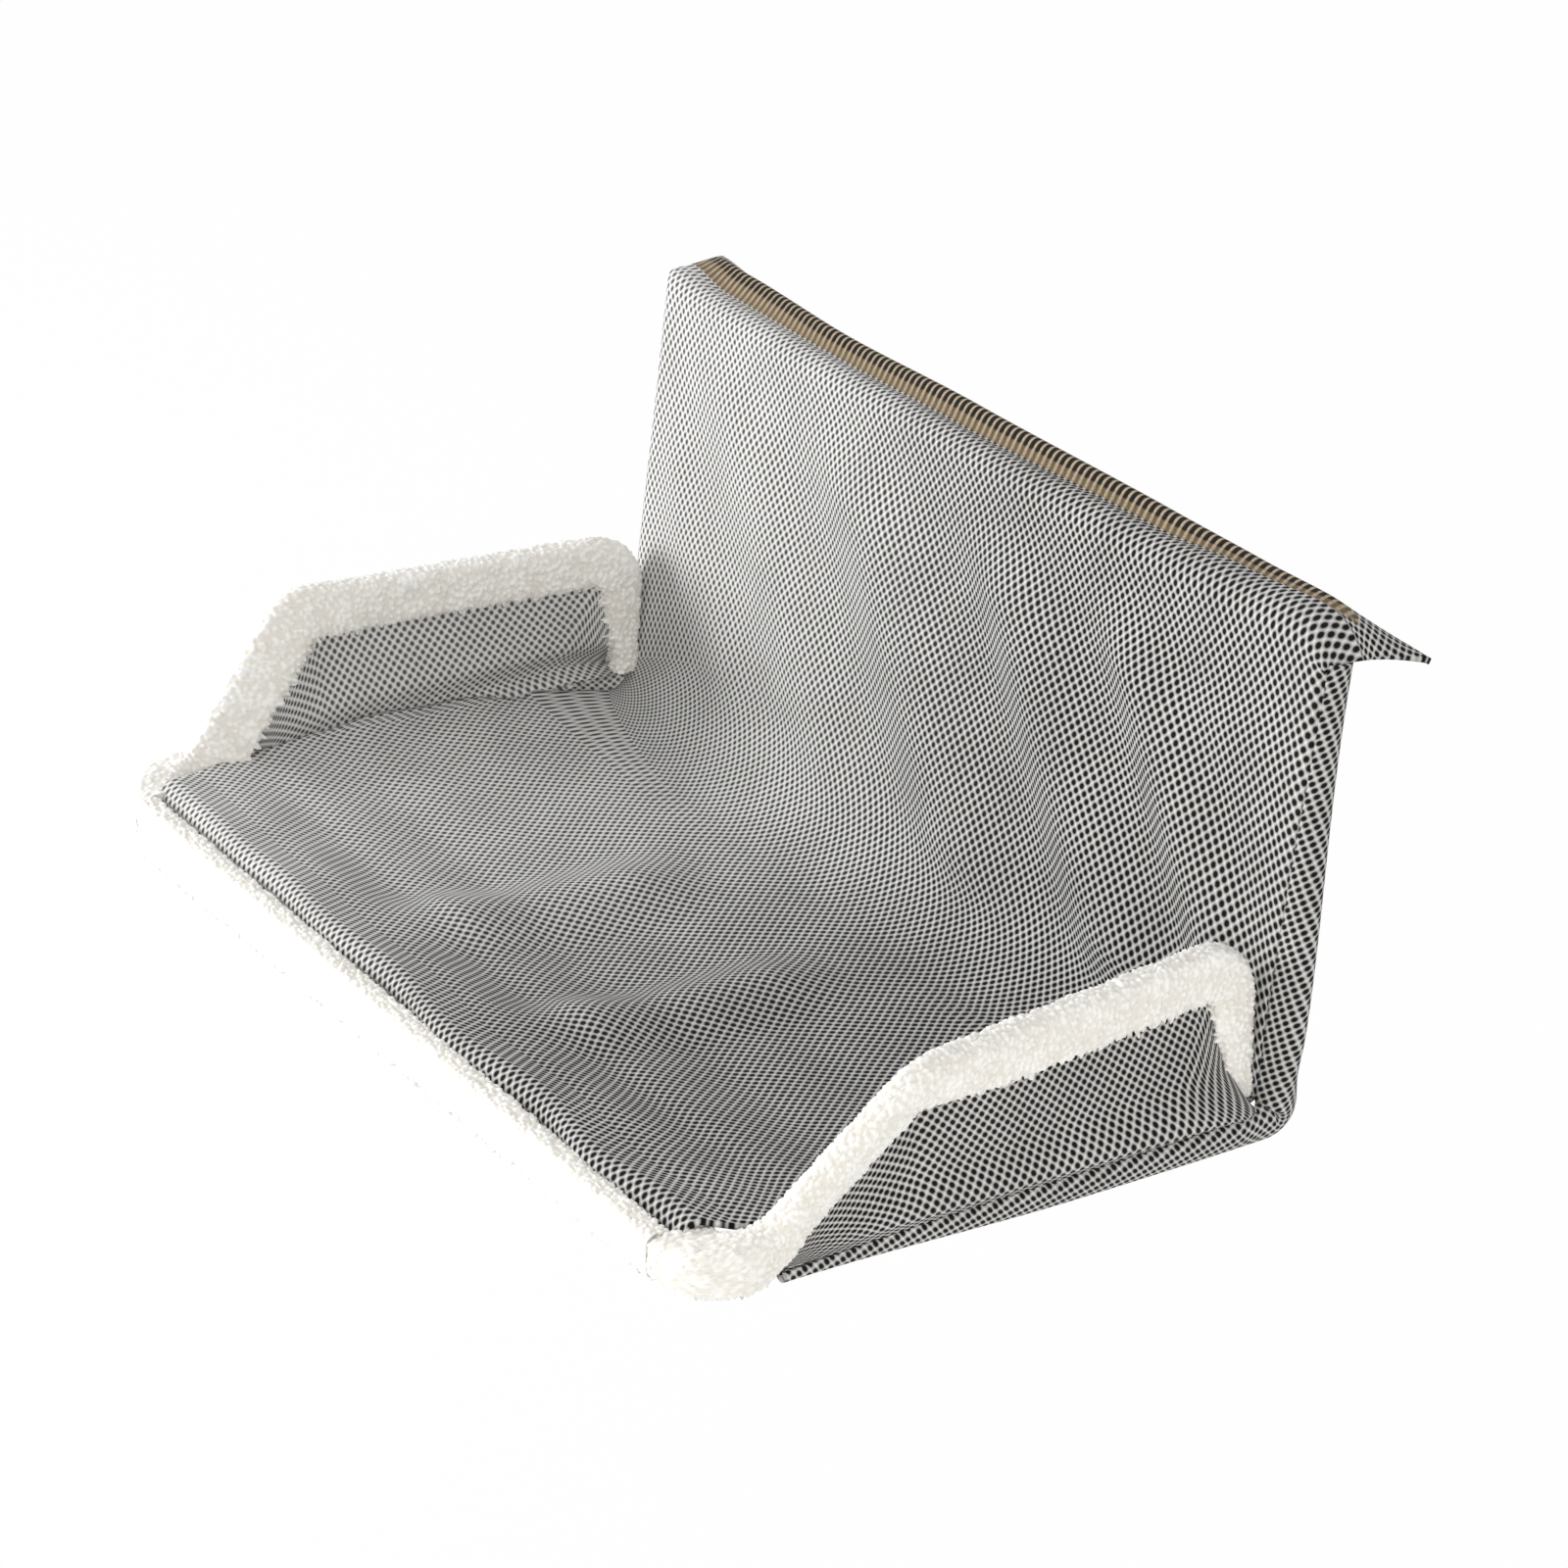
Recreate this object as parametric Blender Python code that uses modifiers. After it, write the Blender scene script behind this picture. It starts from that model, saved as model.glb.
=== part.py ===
"""Cat window hammock: a padded mesh seat on a steel tube frame, hung on a board by two hooks.

The origin lies on the top front edge of the board that the hooks hang over.
X runs along the board, Y points back over it, Z is up, and all lengths are metres.
"""
import math

import bmesh
import bpy
from mathutils import Matrix, Quaternion, Vector

MM = 0.001

# Driving sizes of the frame
HALF_WIDTH = 223.5 * MM
BACK_HEIGHT = 177.0 * MM
BACK_LEAN = math.radians(7.3)
SEAT_DEPTH = 246.5 * MM
FRONT_RISE = 11.4 * MM
TUBE_RADIUS = 5.0 * MM
TUBE_WALL = 1.2 * MM
HOOP_RADIUS = 4.0 * MM
FRONT_BAR_RADIUS = 6.0 * MM
HOOP_INSERTION = 25.0 * MM

# Clearances
TOUCH = 0.3 * MM
SCREW_PLAY = 0.3 * MM
SLIDE_PLAY = 0.3 * MM
COVER_PLAY = 1.2 * MM
OVERRUN = 2.0 * MM
WELD = 0.01 * MM

# Cover
FABRIC = 2.5 * MM
TRIM_HEIGHT = 22.0 * MM
TRIM_THICKNESS = 13.0 * MM
TRIM_LEG_WIDTH = 11.0 * MM
FRONT_TRIM_THICKNESS = 12.0 * MM

# Hooks, their guides and the board that they hang on
HOOK_SPACING = 200.0 * MM
HOOK_REACH = 38.5 * MM
HOOK_DROP = 45.0 * MM
STRAP_WIDTH = 22.0 * MM
STRAP_THICKNESS = 3.0 * MM
STRAP_BEND = 5.0 * MM
GUIDE_WALL = 1.5 * MM
REST_PAD = 2.0 * MM
BAR_SPACING = 30.0 * MM
LOWER_BAR_HEIGHT = 17.4 * MM

# Heights and depths that follow from the sizes above
COVER_RADIUS = TUBE_RADIUS + COVER_PLAY + FABRIC
COVER_MIDDLE = COVER_RADIUS - FABRIC / 2
GUIDE_HEIGHT = STRAP_THICKNESS + 2 * (SLIDE_PLAY + GUIDE_WALL)
GUIDE_BOTTOM = REST_PAD + TOUCH
GUIDE_TOP = GUIDE_BOTTOM + GUIDE_HEIGHT
HOOK_BAR_Z = GUIDE_TOP + TOUCH + TUBE_RADIUS
TOP_BAR_Z = HOOK_BAR_Z + BAR_SPACING
FOOT_Z = TOP_BAR_Z - BACK_HEIGHT
LOWER_BAR_Z = FOOT_Z + LOWER_BAR_HEIGHT


def upright_y(z):
    """Depth of the uprights' centre line at a height; the cover just clears the board."""
    return z * math.tan(BACK_LEAN) - (COVER_RADIUS + TOUCH) / math.cos(BACK_LEAN)


FOOT_Y = upright_y(FOOT_Z)
FRONT_Y = FOOT_Y - SEAT_DEPTH
FRONT_Z = FOOT_Z + FRONT_RISE
ROLL_MIDDLE = FRONT_BAR_RADIUS + TOUCH + FABRIC / 2
ROLL_OUTSIDE = FRONT_BAR_RADIUS + TOUCH + FABRIC

for old in list(bpy.data.objects):
    bpy.data.objects.remove(old, do_unlink=True)

parts = bpy.data.collections.new("cat_window_hammock")
cutters = bpy.data.collections.new("cutters")
bpy.context.scene.collection.children.link(parts)
bpy.context.scene.collection.children.link(cutters)


def finish(name, color, roughness, metallic=0.0):
    """A plain Principled material."""
    made = bpy.data.materials.new(name)
    made.use_nodes = True
    shader = made.node_tree.nodes["Principled BSDF"]
    shader.inputs["Base Color"].default_value = (*color, 1.0)
    shader.inputs["Roughness"].default_value = roughness
    shader.inputs["Metallic"].default_value = metallic
    return made


PAINTED_STEEL = finish("painted_steel", (0.03, 0.03, 0.033), 0.42, 0.2)
ZINC_STEEL = finish("zinc_steel", (0.62, 0.63, 0.65), 0.35, 1.0)
BLACK_RUBBER = finish("black_rubber", (0.025, 0.025, 0.025), 0.85)
BLACK_PLASTIC = finish("black_plastic", (0.04, 0.04, 0.042), 0.45)
GREY_MESH = finish("grey_mesh", (0.33, 0.33, 0.34), 0.9)
CREAM_FLEECE = finish("cream_fleece", (0.86, 0.83, 0.76), 0.95)


def add(name, mesh, surface, smooth=True):
    """Link a finished mesh as one named piece."""
    piece = bpy.data.objects.new(name, mesh)
    parts.objects.link(piece)
    mesh.materials.clear()
    mesh.materials.append(surface)
    if smooth:
        mesh.shade_smooth()
        mesh.set_sharp_from_angle(angle=math.radians(40))
    return piece


def to_mesh(name, work):
    """Turn a bmesh into mesh data with its faces pointing out."""
    bmesh.ops.recalc_face_normals(work, faces=work.faces)
    mesh = bpy.data.meshes.new(name)
    work.to_mesh(mesh)
    work.free()
    return mesh


def cylinder(name, radius, start, end, sides=24, top_radius=None):
    """Mesh of a cylinder or cone from one point to another."""
    start, end = Vector(start), Vector(end)
    run = end - start
    work = bmesh.new()
    turn = run.to_track_quat("Z", "Y").to_matrix().to_4x4()
    place = Matrix.Translation((start + end) / 2) @ turn
    bmesh.ops.create_cone(work, cap_ends=True, segments=sides, radius1=radius, depth=run.length,
                          radius2=radius if top_radius is None else top_radius, matrix=place)
    return to_mesh(name, work)


def block(name, low, high):
    """Mesh of a box between two corners."""
    low, high = Vector(low), Vector(high)
    work = bmesh.new()
    bmesh.ops.create_cube(work, size=1.0)
    bmesh.ops.scale(work, vec=high - low, verts=work.verts)
    bmesh.ops.translate(work, vec=(low + high) / 2, verts=work.verts)
    return to_mesh(name, work)


def boolean(piece, mesh, operation="DIFFERENCE"):
    """Cut a mesh from a piece, or join it on, with a hidden tool object."""
    tool = bpy.data.objects.new(piece.name + "_tool", mesh)
    cutters.objects.link(tool)
    tool.hide_render = True
    tool.display_type = "WIRE"
    change = piece.modifiers.new("shape", "BOOLEAN")
    change.operation = operation
    change.object = tool
    return change


def soften(piece, width, segments=2, angle=40):
    """Round a piece's sharp edges."""
    edge = piece.modifiers.new("rounded", "BEVEL")
    edge.width = width
    edge.segments = segments
    edge.limit_method = "ANGLE"
    edge.angle_limit = math.radians(angle)


def rounded_path(corners, radii, arc_steps=(5,) * 5):
    """Points along straight runs joined by arcs of the given radii, as bent on a former."""
    corners = [Vector(corner) for corner in corners]
    path = [corners[0]]
    for before, corner, after, radius, steps in zip(corners, corners[1:], corners[2:], radii, arc_steps):
        to_before = (before - corner).normalized()
        to_after = (after - corner).normalized()
        half = to_before.angle(to_after) / 2
        centre = corner + (to_before + to_after).normalized() * (radius / math.sin(half))
        start = corner + to_before * (radius / math.tan(half))
        spoke = start - centre
        axis = to_before.cross(to_after).normalized()
        sweep = math.pi - 2 * half
        for step in range(steps + 1):
            path.append(centre + Matrix.Rotation(-sweep * step / steps, 3, axis) @ spoke)
    path.append(corners[-1])
    return path


def tangents(path):
    """Direction of travel at each point of a path."""
    found = []
    for index, point in enumerate(path):
        before = path[max(index - 1, 0)]
        after = path[min(index + 1, len(path) - 1)]
        arrive = (point - before).normalized() if index else (after - point).normalized()
        leave = (after - point).normalized() if index < len(path) - 1 else arrive
        found.append((arrive + leave).normalized())
    return found


def loft(name, rings):
    """Skin a row of rings with equal counts and close both ends."""
    work = bmesh.new()
    rows = [[work.verts.new(point) for point in ring] for ring in rings]
    count = len(rows[0])
    for near, far in zip(rows, rows[1:]):
        for index in range(count):
            follow = (index + 1) % count
            work.faces.new((near[index], near[follow], far[follow], far[index]))
    work.faces.new(rows[0])
    work.faces.new(list(reversed(rows[-1])))
    return to_mesh(name, work)


def bent_tube(name, path, radius):
    """Curve object of a round bar that follows a path, with its ends filled."""
    curve = bpy.data.curves.new(name, "CURVE")
    curve.dimensions = "3D"
    curve.bevel_depth = radius
    curve.bevel_resolution = 2
    curve.use_fill_caps = True
    spline = curve.splines.new("POLY")
    spline.points.add(len(path) - 1)
    for knot, point in zip(spline.points, path):
        knot.co = (*point, 1.0)
    tube = bpy.data.objects.new(name, curve)
    bpy.context.scene.collection.objects.link(tube)
    return tube


def tube_mesh(name, path, radius):
    """Closed mesh of a bent tube, for a piece that is cut or that cuts another."""
    tube = bent_tube(name, path, radius)
    bpy.context.view_layer.update()
    shown = tube.evaluated_get(bpy.context.evaluated_depsgraph_get())
    mesh = bpy.data.meshes.new_from_object(shown)
    bpy.data.objects.remove(tube, do_unlink=True)
    work = bmesh.new()
    work.from_mesh(mesh)
    bmesh.ops.remove_doubles(work, verts=work.verts, dist=WELD)
    return to_mesh(name, work)


# Back frame: two leaning uprights and three cross bars, screwed together through the uprights
UPRIGHT_OVER = 3.9 * MM
UPRIGHT_TOP_Z = TOP_BAR_Z + UPRIGHT_OVER
BAR_END = HALF_WIDTH - TUBE_RADIUS - TOUCH
BORE_RADIUS = TUBE_RADIUS - TUBE_WALL
SCREW_RADIUS = 1.7 * MM
SCREW_HEAD_RADIUS = 2.6 * MM
SCREW_HEAD_HEIGHT = 1.5 * MM
TOP_CLOSURE = 0.9 * MM
PLUG_LENGTH = 15.0 * MM
CAP_HEAD = 1.5 * MM
CAP_STEM = 8.0 * MM
SCREW_DEPTH_SHARE = 0.8
BARS = {"top": TOP_BAR_Z, "hook": HOOK_BAR_Z, "lower": LOWER_BAR_Z}


def upright(side):
    """One leaning tube with a closed top, drilled for a screw at every cross bar."""
    name = "left" if side < 0 else "right"
    x = side * HALF_WIDTH
    bottom = Vector((x, FOOT_Y, FOOT_Z))
    top = Vector((x, upright_y(UPRIGHT_TOP_Z), UPRIGHT_TOP_Z))
    lean = (top - bottom).normalized()
    piece = add(name + "_upright", cylinder("tube", TUBE_RADIUS, bottom, top), PAINTED_STEEL)
    boolean(piece, cylinder("bore", BORE_RADIUS, bottom - lean * OVERRUN, top - lean * TOP_CLOSURE))
    outward = Vector((side * (TUBE_RADIUS + OVERRUN), 0, 0))
    for z in BARS.values():
        centre = Vector((x, upright_y(z), z))
        boolean(piece, cylinder("hole", SCREW_RADIUS + SCREW_PLAY, centre, centre - outward, 16))
        boolean(piece, cylinder("access", SCREW_HEAD_RADIUS + SCREW_PLAY, centre, centre + outward, 16))
    head = bottom - lean * TOUCH
    cap = add(name + "_foot_cap", cylinder("cap", TUBE_RADIUS, head, head - lean * CAP_HEAD,
                                           top_radius=TUBE_RADIUS - CAP_HEAD / 2), BLACK_PLASTIC)
    boolean(cap, cylinder("stem", BORE_RADIUS - TOUCH, head - lean * CAP_HEAD / 2, head + lean * CAP_STEM),
            "UNION")


def cross_bar(name, z):
    """One tube between the uprights, with a threaded plug and a screw at each end."""
    y = upright_y(z)
    ends = Vector((-BAR_END, y, z)), Vector((BAR_END, y, z))
    piece = add(name + "_bar", cylinder("tube", TUBE_RADIUS, *ends), PAINTED_STEEL)
    reach = Vector((OVERRUN, 0, 0))
    boolean(piece, cylinder("bore", BORE_RADIUS, ends[0] - reach, ends[1] + reach))
    for side, end in ((-1, ends[0]), (1, ends[1])):
        label = "left" if side < 0 else "right"
        inward = Vector((-side * PLUG_LENGTH, 0, 0))
        plug = add(f"{name}_{label}_plug",
                   cylinder("plug", BORE_RADIUS - TOUCH, end, end + inward, 16), ZINC_STEEL)
        over = Vector((-side * OVERRUN, 0, 0))
        boolean(plug, cylinder("thread", SCREW_RADIUS + SCREW_PLAY, end - over, end + inward + over, 16))
        inset = math.sqrt(BORE_RADIUS ** 2 - SCREW_HEAD_RADIUS ** 2) - TOUCH
        seat = Vector((side * (HALF_WIDTH - inset), y, z))
        out = Vector((side * SCREW_HEAD_HEIGHT, 0, 0))
        screw = add(f"{name}_{label}_screw",
                    cylinder("head", SCREW_HEAD_RADIUS, seat, seat + out, 16), ZINC_STEEL)
        tip = end + inward * SCREW_DEPTH_SHARE
        boolean(screw, cylinder("shank", SCREW_RADIUS, seat + out / 2, tip, 16), "UNION")


for side in (-1, 1):
    upright(side)
for bar_name, bar_z in BARS.items():
    cross_bar(bar_name, bar_z)

# Seat frame: a front bar whose bore takes the forward ends of two bent arm hoops
CORNER_FLARE = 1.5 * MM
CORNER_INSET = 20.5 * MM
HOOP_CORNER_X = HALF_WIDTH + CORNER_FLARE
FRONT_BAR_END = HOOP_CORNER_X - CORNER_INSET
ARM_RISE = 60.5 * MM
ARM_SLOPE = 5.5 * MM
ARM_FLARE = 15.5 * MM
ARM_PINCH = 2.5 * MM
HOOP_FOOT_RISE = 4.4 * MM
LEG_OFFSET = 1.0 * MM
LEG_STANDOFF = 7.0 * MM
ARM_SETBACK = 74.0 * MM
LOW_BEND_REACH = 20.5 * MM
LOW_BEND_RISE = 2.5 * MM
FOOT_BEND = 5.5 * MM
REAR_BEND = 18.0 * MM
ARM_BEND = 22.0 * MM
LOW_BEND = 14.0 * MM
CORNER_BEND = 13.0 * MM
HOOP_FOOT_Z = FOOT_Z + HOOP_FOOT_RISE
HOOP_FOOT_Y = upright_y(HOOP_FOOT_Z - HOOP_RADIUS) - TUBE_RADIUS / math.cos(BACK_LEAN) - TOUCH
LEG_Y = HOOP_FOOT_Y - LEG_STANDOFF
ARM_Z = HOOP_FOOT_Z + ARM_RISE
HOOP_BENDS = (FOOT_BEND, REAR_BEND, ARM_BEND, LOW_BEND, CORNER_BEND)


def hoop_corners(side):
    """Corner points of an arm hoop, from its foot up, forward, down and into the front bar."""
    outline = ((HALF_WIDTH + LEG_OFFSET, HOOP_FOOT_Y, HOOP_FOOT_Z),
               (HALF_WIDTH + LEG_OFFSET, LEG_Y, HOOP_FOOT_Z),
               (HALF_WIDTH - ARM_PINCH, LEG_Y, ARM_Z),
               (HALF_WIDTH + ARM_FLARE, FRONT_Y + ARM_SETBACK, ARM_Z + ARM_SLOPE),
               (HOOP_CORNER_X, FRONT_Y + LOW_BEND_REACH, FRONT_Z + LOW_BEND_RISE),
               (HOOP_CORNER_X, FRONT_Y, FRONT_Z),
               (FRONT_BAR_END - HOOP_INSERTION, FRONT_Y, FRONT_Z))
    return [Vector((side * x, y, z)) for x, y, z in outline]


for side, name in ((-1, "left"), (1, "right")):
    add(name + "_arm_hoop", tube_mesh("hoop", rounded_path(hoop_corners(side), HOOP_BENDS), HOOP_RADIUS),
        PAINTED_STEEL)

bar_ends = Vector((-FRONT_BAR_END, FRONT_Y, FRONT_Z)), Vector((FRONT_BAR_END, FRONT_Y, FRONT_Z))
front_bar = add("front_bar", cylinder("tube", FRONT_BAR_RADIUS, *bar_ends), PAINTED_STEEL)
past_end = Vector((OVERRUN, 0, 0))
boolean(front_bar, cylinder("bore", HOOP_RADIUS + TOUCH, bar_ends[0] - past_end, bar_ends[1] + past_end))

# Hook units: a rectangular guide under the hook bar, a sliding strap hook, its clamp and rubber pads
GUIDE_WIDTH = STRAP_WIDTH + 2 * (SLIDE_PLAY + GUIDE_WALL)
GUIDE_LEAD = 6.4 * MM
GUIDE_SETBACK = 5.2 * MM
STRAP_INSET = 1.5 * MM
GUIDE_FRONT = upright_y(HOOK_BAR_Z) - GUIDE_LEAD
GUIDE_REAR = HOOK_REACH - GUIDE_SETBACK
STRAP_FRONT = GUIDE_FRONT + STRAP_INSET
STRAP_BOTTOM = GUIDE_BOTTOM + GUIDE_WALL + SLIDE_PLAY
STRAP_TOP = STRAP_BOTTOM + STRAP_THICKNESS
PAD_THICKNESS = 2.0 * MM
PAD_SIDE = 2.0 * MM
PAD_ROUND = 0.6 * MM
PAD_HEIGHT_SHARE = 0.65
CLAMP_Y = 9.3 * MM
BOSS_RADIUS = 5.0 * MM
BOSS_HEIGHT = 4.0 * MM
CLAMP_SCREW_RADIUS = 2.5 * MM
KNOB_RADIUS = 8.0 * MM
KNOB_HEIGHT = 8.0 * MM
KNOB_LOBES = 8
KNOB_GRIP_SHARE = 0.9
SOCKET_DEPTH_SHARE = 0.7
BUMPER_X = 150.0 * MM
BUMPER_RADIUS = 9.0 * MM


def knob_mesh(centre):
    """Lobed grip: a ring whose radius swells once per lobe, extruded along the screw."""
    work = bmesh.new()
    count = KNOB_LOBES * 6
    ring = []
    for index in range(count):
        turn = 2 * math.pi * index / count
        swell = (1 + KNOB_GRIP_SHARE + (1 - KNOB_GRIP_SHARE) * math.cos(KNOB_LOBES * turn)) / 2
        ring.append(work.verts.new((KNOB_RADIUS * swell * math.cos(turn),
                                    KNOB_RADIUS * swell * math.sin(turn), 0)))
    grown = bmesh.ops.extrude_face_region(work, geom=[work.faces.new(ring)])
    lifted = [item for item in grown["geom"] if isinstance(item, bmesh.types.BMVert)]
    bmesh.ops.translate(work, vec=(0, 0, KNOB_HEIGHT), verts=lifted)
    mesh = to_mesh("grip", work)
    mesh.transform(Matrix.Translation(centre))
    return mesh


def strap_mesh(x):
    """Flat strap bent down at its rear end into a lip."""
    middle = STRAP_BOTTOM + STRAP_THICKNESS / 2
    lip_y = HOOK_REACH + STRAP_THICKNESS / 2
    line = rounded_path([(x, STRAP_FRONT, middle), (x, lip_y, middle), (x, lip_y, middle - HOOK_DROP)],
                        (STRAP_BEND,), (6,))
    half_width, half_height = STRAP_WIDTH / 2, STRAP_THICKNESS / 2
    rings = []
    for point, heading in zip(line, tangents(line)):
        over = Vector((0, -heading.z, heading.y)) * half_height
        wide = Vector((half_width, 0, 0))
        rings.append([point - wide - over, point + wide - over, point + wide + over, point - wide + over])
    return loft("strap", rings)


def centre_on(piece, point):
    """Put a piece's origin on a point of its joint."""
    piece.data.transform(Matrix.Translation(-Vector(point)))
    piece.location = point
    for change in piece.modifiers:
        if change.type == "BOOLEAN":
            change.object.data.transform(Matrix.Translation(-Vector(point)))
            change.object.parent = piece


def hook_unit(side):
    """One guide with the parts that it carries."""
    name = "left" if side < 0 else "right"
    x = side * HOOK_SPACING / 2
    half = GUIDE_WIDTH / 2
    guide = add(name + "_hook_guide",
                block("guide", (x - half, GUIDE_FRONT, GUIDE_BOTTOM), (x + half, GUIDE_REAR, GUIDE_TOP)),
                PAINTED_STEEL)
    boolean(guide, cylinder("boss", BOSS_RADIUS, (x, CLAMP_Y, GUIDE_TOP - GUIDE_WALL / 2),
                            (x, CLAMP_Y, GUIDE_TOP + BOSS_HEIGHT)), "UNION")
    inner = half - GUIDE_WALL
    boolean(guide, block("slot", (x - inner, GUIDE_FRONT - OVERRUN, GUIDE_BOTTOM + GUIDE_WALL),
                         (x + inner, GUIDE_REAR + OVERRUN, GUIDE_TOP - GUIDE_WALL)))
    boolean(guide, cylinder("thread", CLAMP_SCREW_RADIUS + SCREW_PLAY, (x, CLAMP_Y, STRAP_TOP),
                            (x, CLAMP_Y, GUIDE_TOP + BOSS_HEIGHT + OVERRUN), 16))
    strap = add(name + "_hook", strap_mesh(x), PAINTED_STEEL)
    centre_on(strap, (x, HOOK_REACH, STRAP_BOTTOM))
    soften(strap, PAD_ROUND)
    pad_half = STRAP_WIDTH / 2 - PAD_SIDE
    face = HOOK_REACH - TOUCH
    lip_end = STRAP_BOTTOM + STRAP_THICKNESS / 2 - HOOK_DROP
    tip = add(name + "_tip_pad",
              block("pad", (x - pad_half, face - PAD_THICKNESS, lip_end + PAD_SIDE),
                    (x + pad_half, face, lip_end + HOOK_DROP * PAD_HEIGHT_SHARE)), BLACK_RUBBER)
    rest = add(name + "_rest_pad",
               block("pad", (x - pad_half, OVERRUN, 0), (x + pad_half, GUIDE_REAR - OVERRUN, REST_PAD)),
               BLACK_RUBBER)
    soften(tip, PAD_ROUND)
    soften(rest, PAD_ROUND)
    screw_top = GUIDE_TOP + BOSS_HEIGHT + TOUCH + KNOB_HEIGHT * SOCKET_DEPTH_SHARE
    screw = add(name + "_clamp_screw",
                cylinder("screw", CLAMP_SCREW_RADIUS, (x, CLAMP_Y, STRAP_TOP + TOUCH / 2),
                         (x, CLAMP_Y, screw_top), 16), ZINC_STEEL)
    knob = add(name + "_clamp_knob", knob_mesh((x, CLAMP_Y, GUIDE_TOP + BOSS_HEIGHT + TOUCH)),
               BLACK_PLASTIC)
    boolean(knob, cylinder("socket", CLAMP_SCREW_RADIUS + TOUCH,
                           (x, CLAMP_Y, GUIDE_TOP + BOSS_HEIGHT - OVERRUN),
                           (x, CLAMP_Y, screw_top + TOUCH), 16))
    soften(knob, PAD_ROUND)
    bumper_y = upright_y(LOWER_BAR_Z)
    bumper = add(name + "_bumper",
                 cylinder("bumper", BUMPER_RADIUS, (side * BUMPER_X, bumper_y + OVERRUN, LOWER_BAR_Z),
                          (side * BUMPER_X, 0, LOWER_BAR_Z)), BLACK_RUBBER)
    reach = Vector((BUMPER_RADIUS + OVERRUN, 0, 0))
    at = Vector((side * BUMPER_X, bumper_y, LOWER_BAR_Z))
    boolean(bumper, cylinder("saddle", TUBE_RADIUS + TOUCH, at - reach, at + reach))


for side in (-1, 1):
    hook_unit(side)

# Cover: where its rear bottom edge lies, and the rounded section shared by its padded edges
COVER_SETBACK = 1.3 * MM
COVER_DROP = 12.6 * MM
COVER_Y = FOOT_Y + COVER_SETBACK
COVER_Z = FOOT_Z - COVER_DROP
SEAT_REACH = COVER_Y - FRONT_Y
RING_SIDES = 12
RING_FILL_SHARE = 0.9


def padded_ring(centre, up, outside, half_height, half_width):
    """Rounded rectangle of points about a centre, as a soft padded strip bulges."""
    ring = []
    for index in range(RING_SIDES):
        turn = 2 * math.pi * index / RING_SIDES
        c, s = math.cos(turn), math.sin(turn)
        fill = 1 + ((c ** 4 + s ** 4) ** -0.25 - 1) * RING_FILL_SHARE
        ring.append(centre + up * (half_height * c * fill) + outside * (half_width * s * fill))
    return ring


# Arm trims: padded bands that sleeve the hoops from above their feet round to the front bar
LEG_TRIM_START = 5.5 * MM
TRIM_DROP = 4.0 * MM
SLOPE_TRIM_HEIGHT = 25.0 * MM
SLOPE_TRIM_THICKNESS = 12.4 * MM
SLOPE_ROLL = math.radians(28)
FRONT_TRIM_HEIGHTS = {-1: 27.0 * MM, 1: 18.5 * MM}
FRONT_TRIM_TOP = 5.7 * MM
TRIM_END_BACK = 6.3 * MM
TRIM_BORE = HOOP_RADIUS + TOUCH
TRIM_SPACING = 26.0 * MM
TRIM_END_HALF = (ROLL_OUTSIDE + TOUCH + FRONT_TRIM_THICKNESS + TRIM_END_BACK) / 2
HEIGHT_SHARES = (0.0, 0.17, 0.55, 0.68, 0.86, 1.0)
WIDTH_SHARES = (0.0, 0.17, 0.55, 0.68, 0.88, 1.0)
ROLL_SHARES = (0.0, 0.5, 0.68, 0.85, 0.95, 1.0)
SHIFT_SHARES = (0.0, 0.88, 1.0)


def blend_values(stops, place):
    """Value at a place along a row of (place, value) stops, eased between them."""
    if place <= stops[0][0]:
        return stops[0][1]
    for (low, start), (high, end) in zip(stops, stops[1:]):
        if place <= high:
            share = (place - low) / (high - low)
            share = share * share * (3 - 2 * share)
            return start + (end - start) * share
    return stops[-1][1]


def split_long(path, longest):
    """Add points to the long straight runs of a path."""
    full = [path[0]]
    for near, far in zip(path, path[1:]):
        pieces = max(1, math.ceil((far - near).length / longest))
        for step in range(1, pieces + 1):
            full.append(near.lerp(far, step / pieces))
    return full


def trim_line(side):
    """The part of the hoop's line that the trim covers, and the distance along it."""
    corners = hoop_corners(side)
    foot, knee = corners[1:3]
    start = foot.lerp(knee, LEG_TRIM_START / (knee.z - foot.z))
    line = [point for point in split_long(rounded_path(corners, HOOP_BENDS), TRIM_SPACING)
            if point.z > start.z + HOOP_RADIUS or point.y < FRONT_Y + ARM_SETBACK]
    line = [start] + [point for point in line if abs(point.x) > FRONT_BAR_END + HOOP_RADIUS]
    line.append(Vector((side * (FRONT_BAR_END + TOUCH), FRONT_Y, FRONT_Z)))
    travel = [0.0]
    for near, far in zip(line, line[1:]):
        travel.append(travel[-1] + (far - near).length)
    return line, [step / travel[-1] for step in travel]


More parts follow.
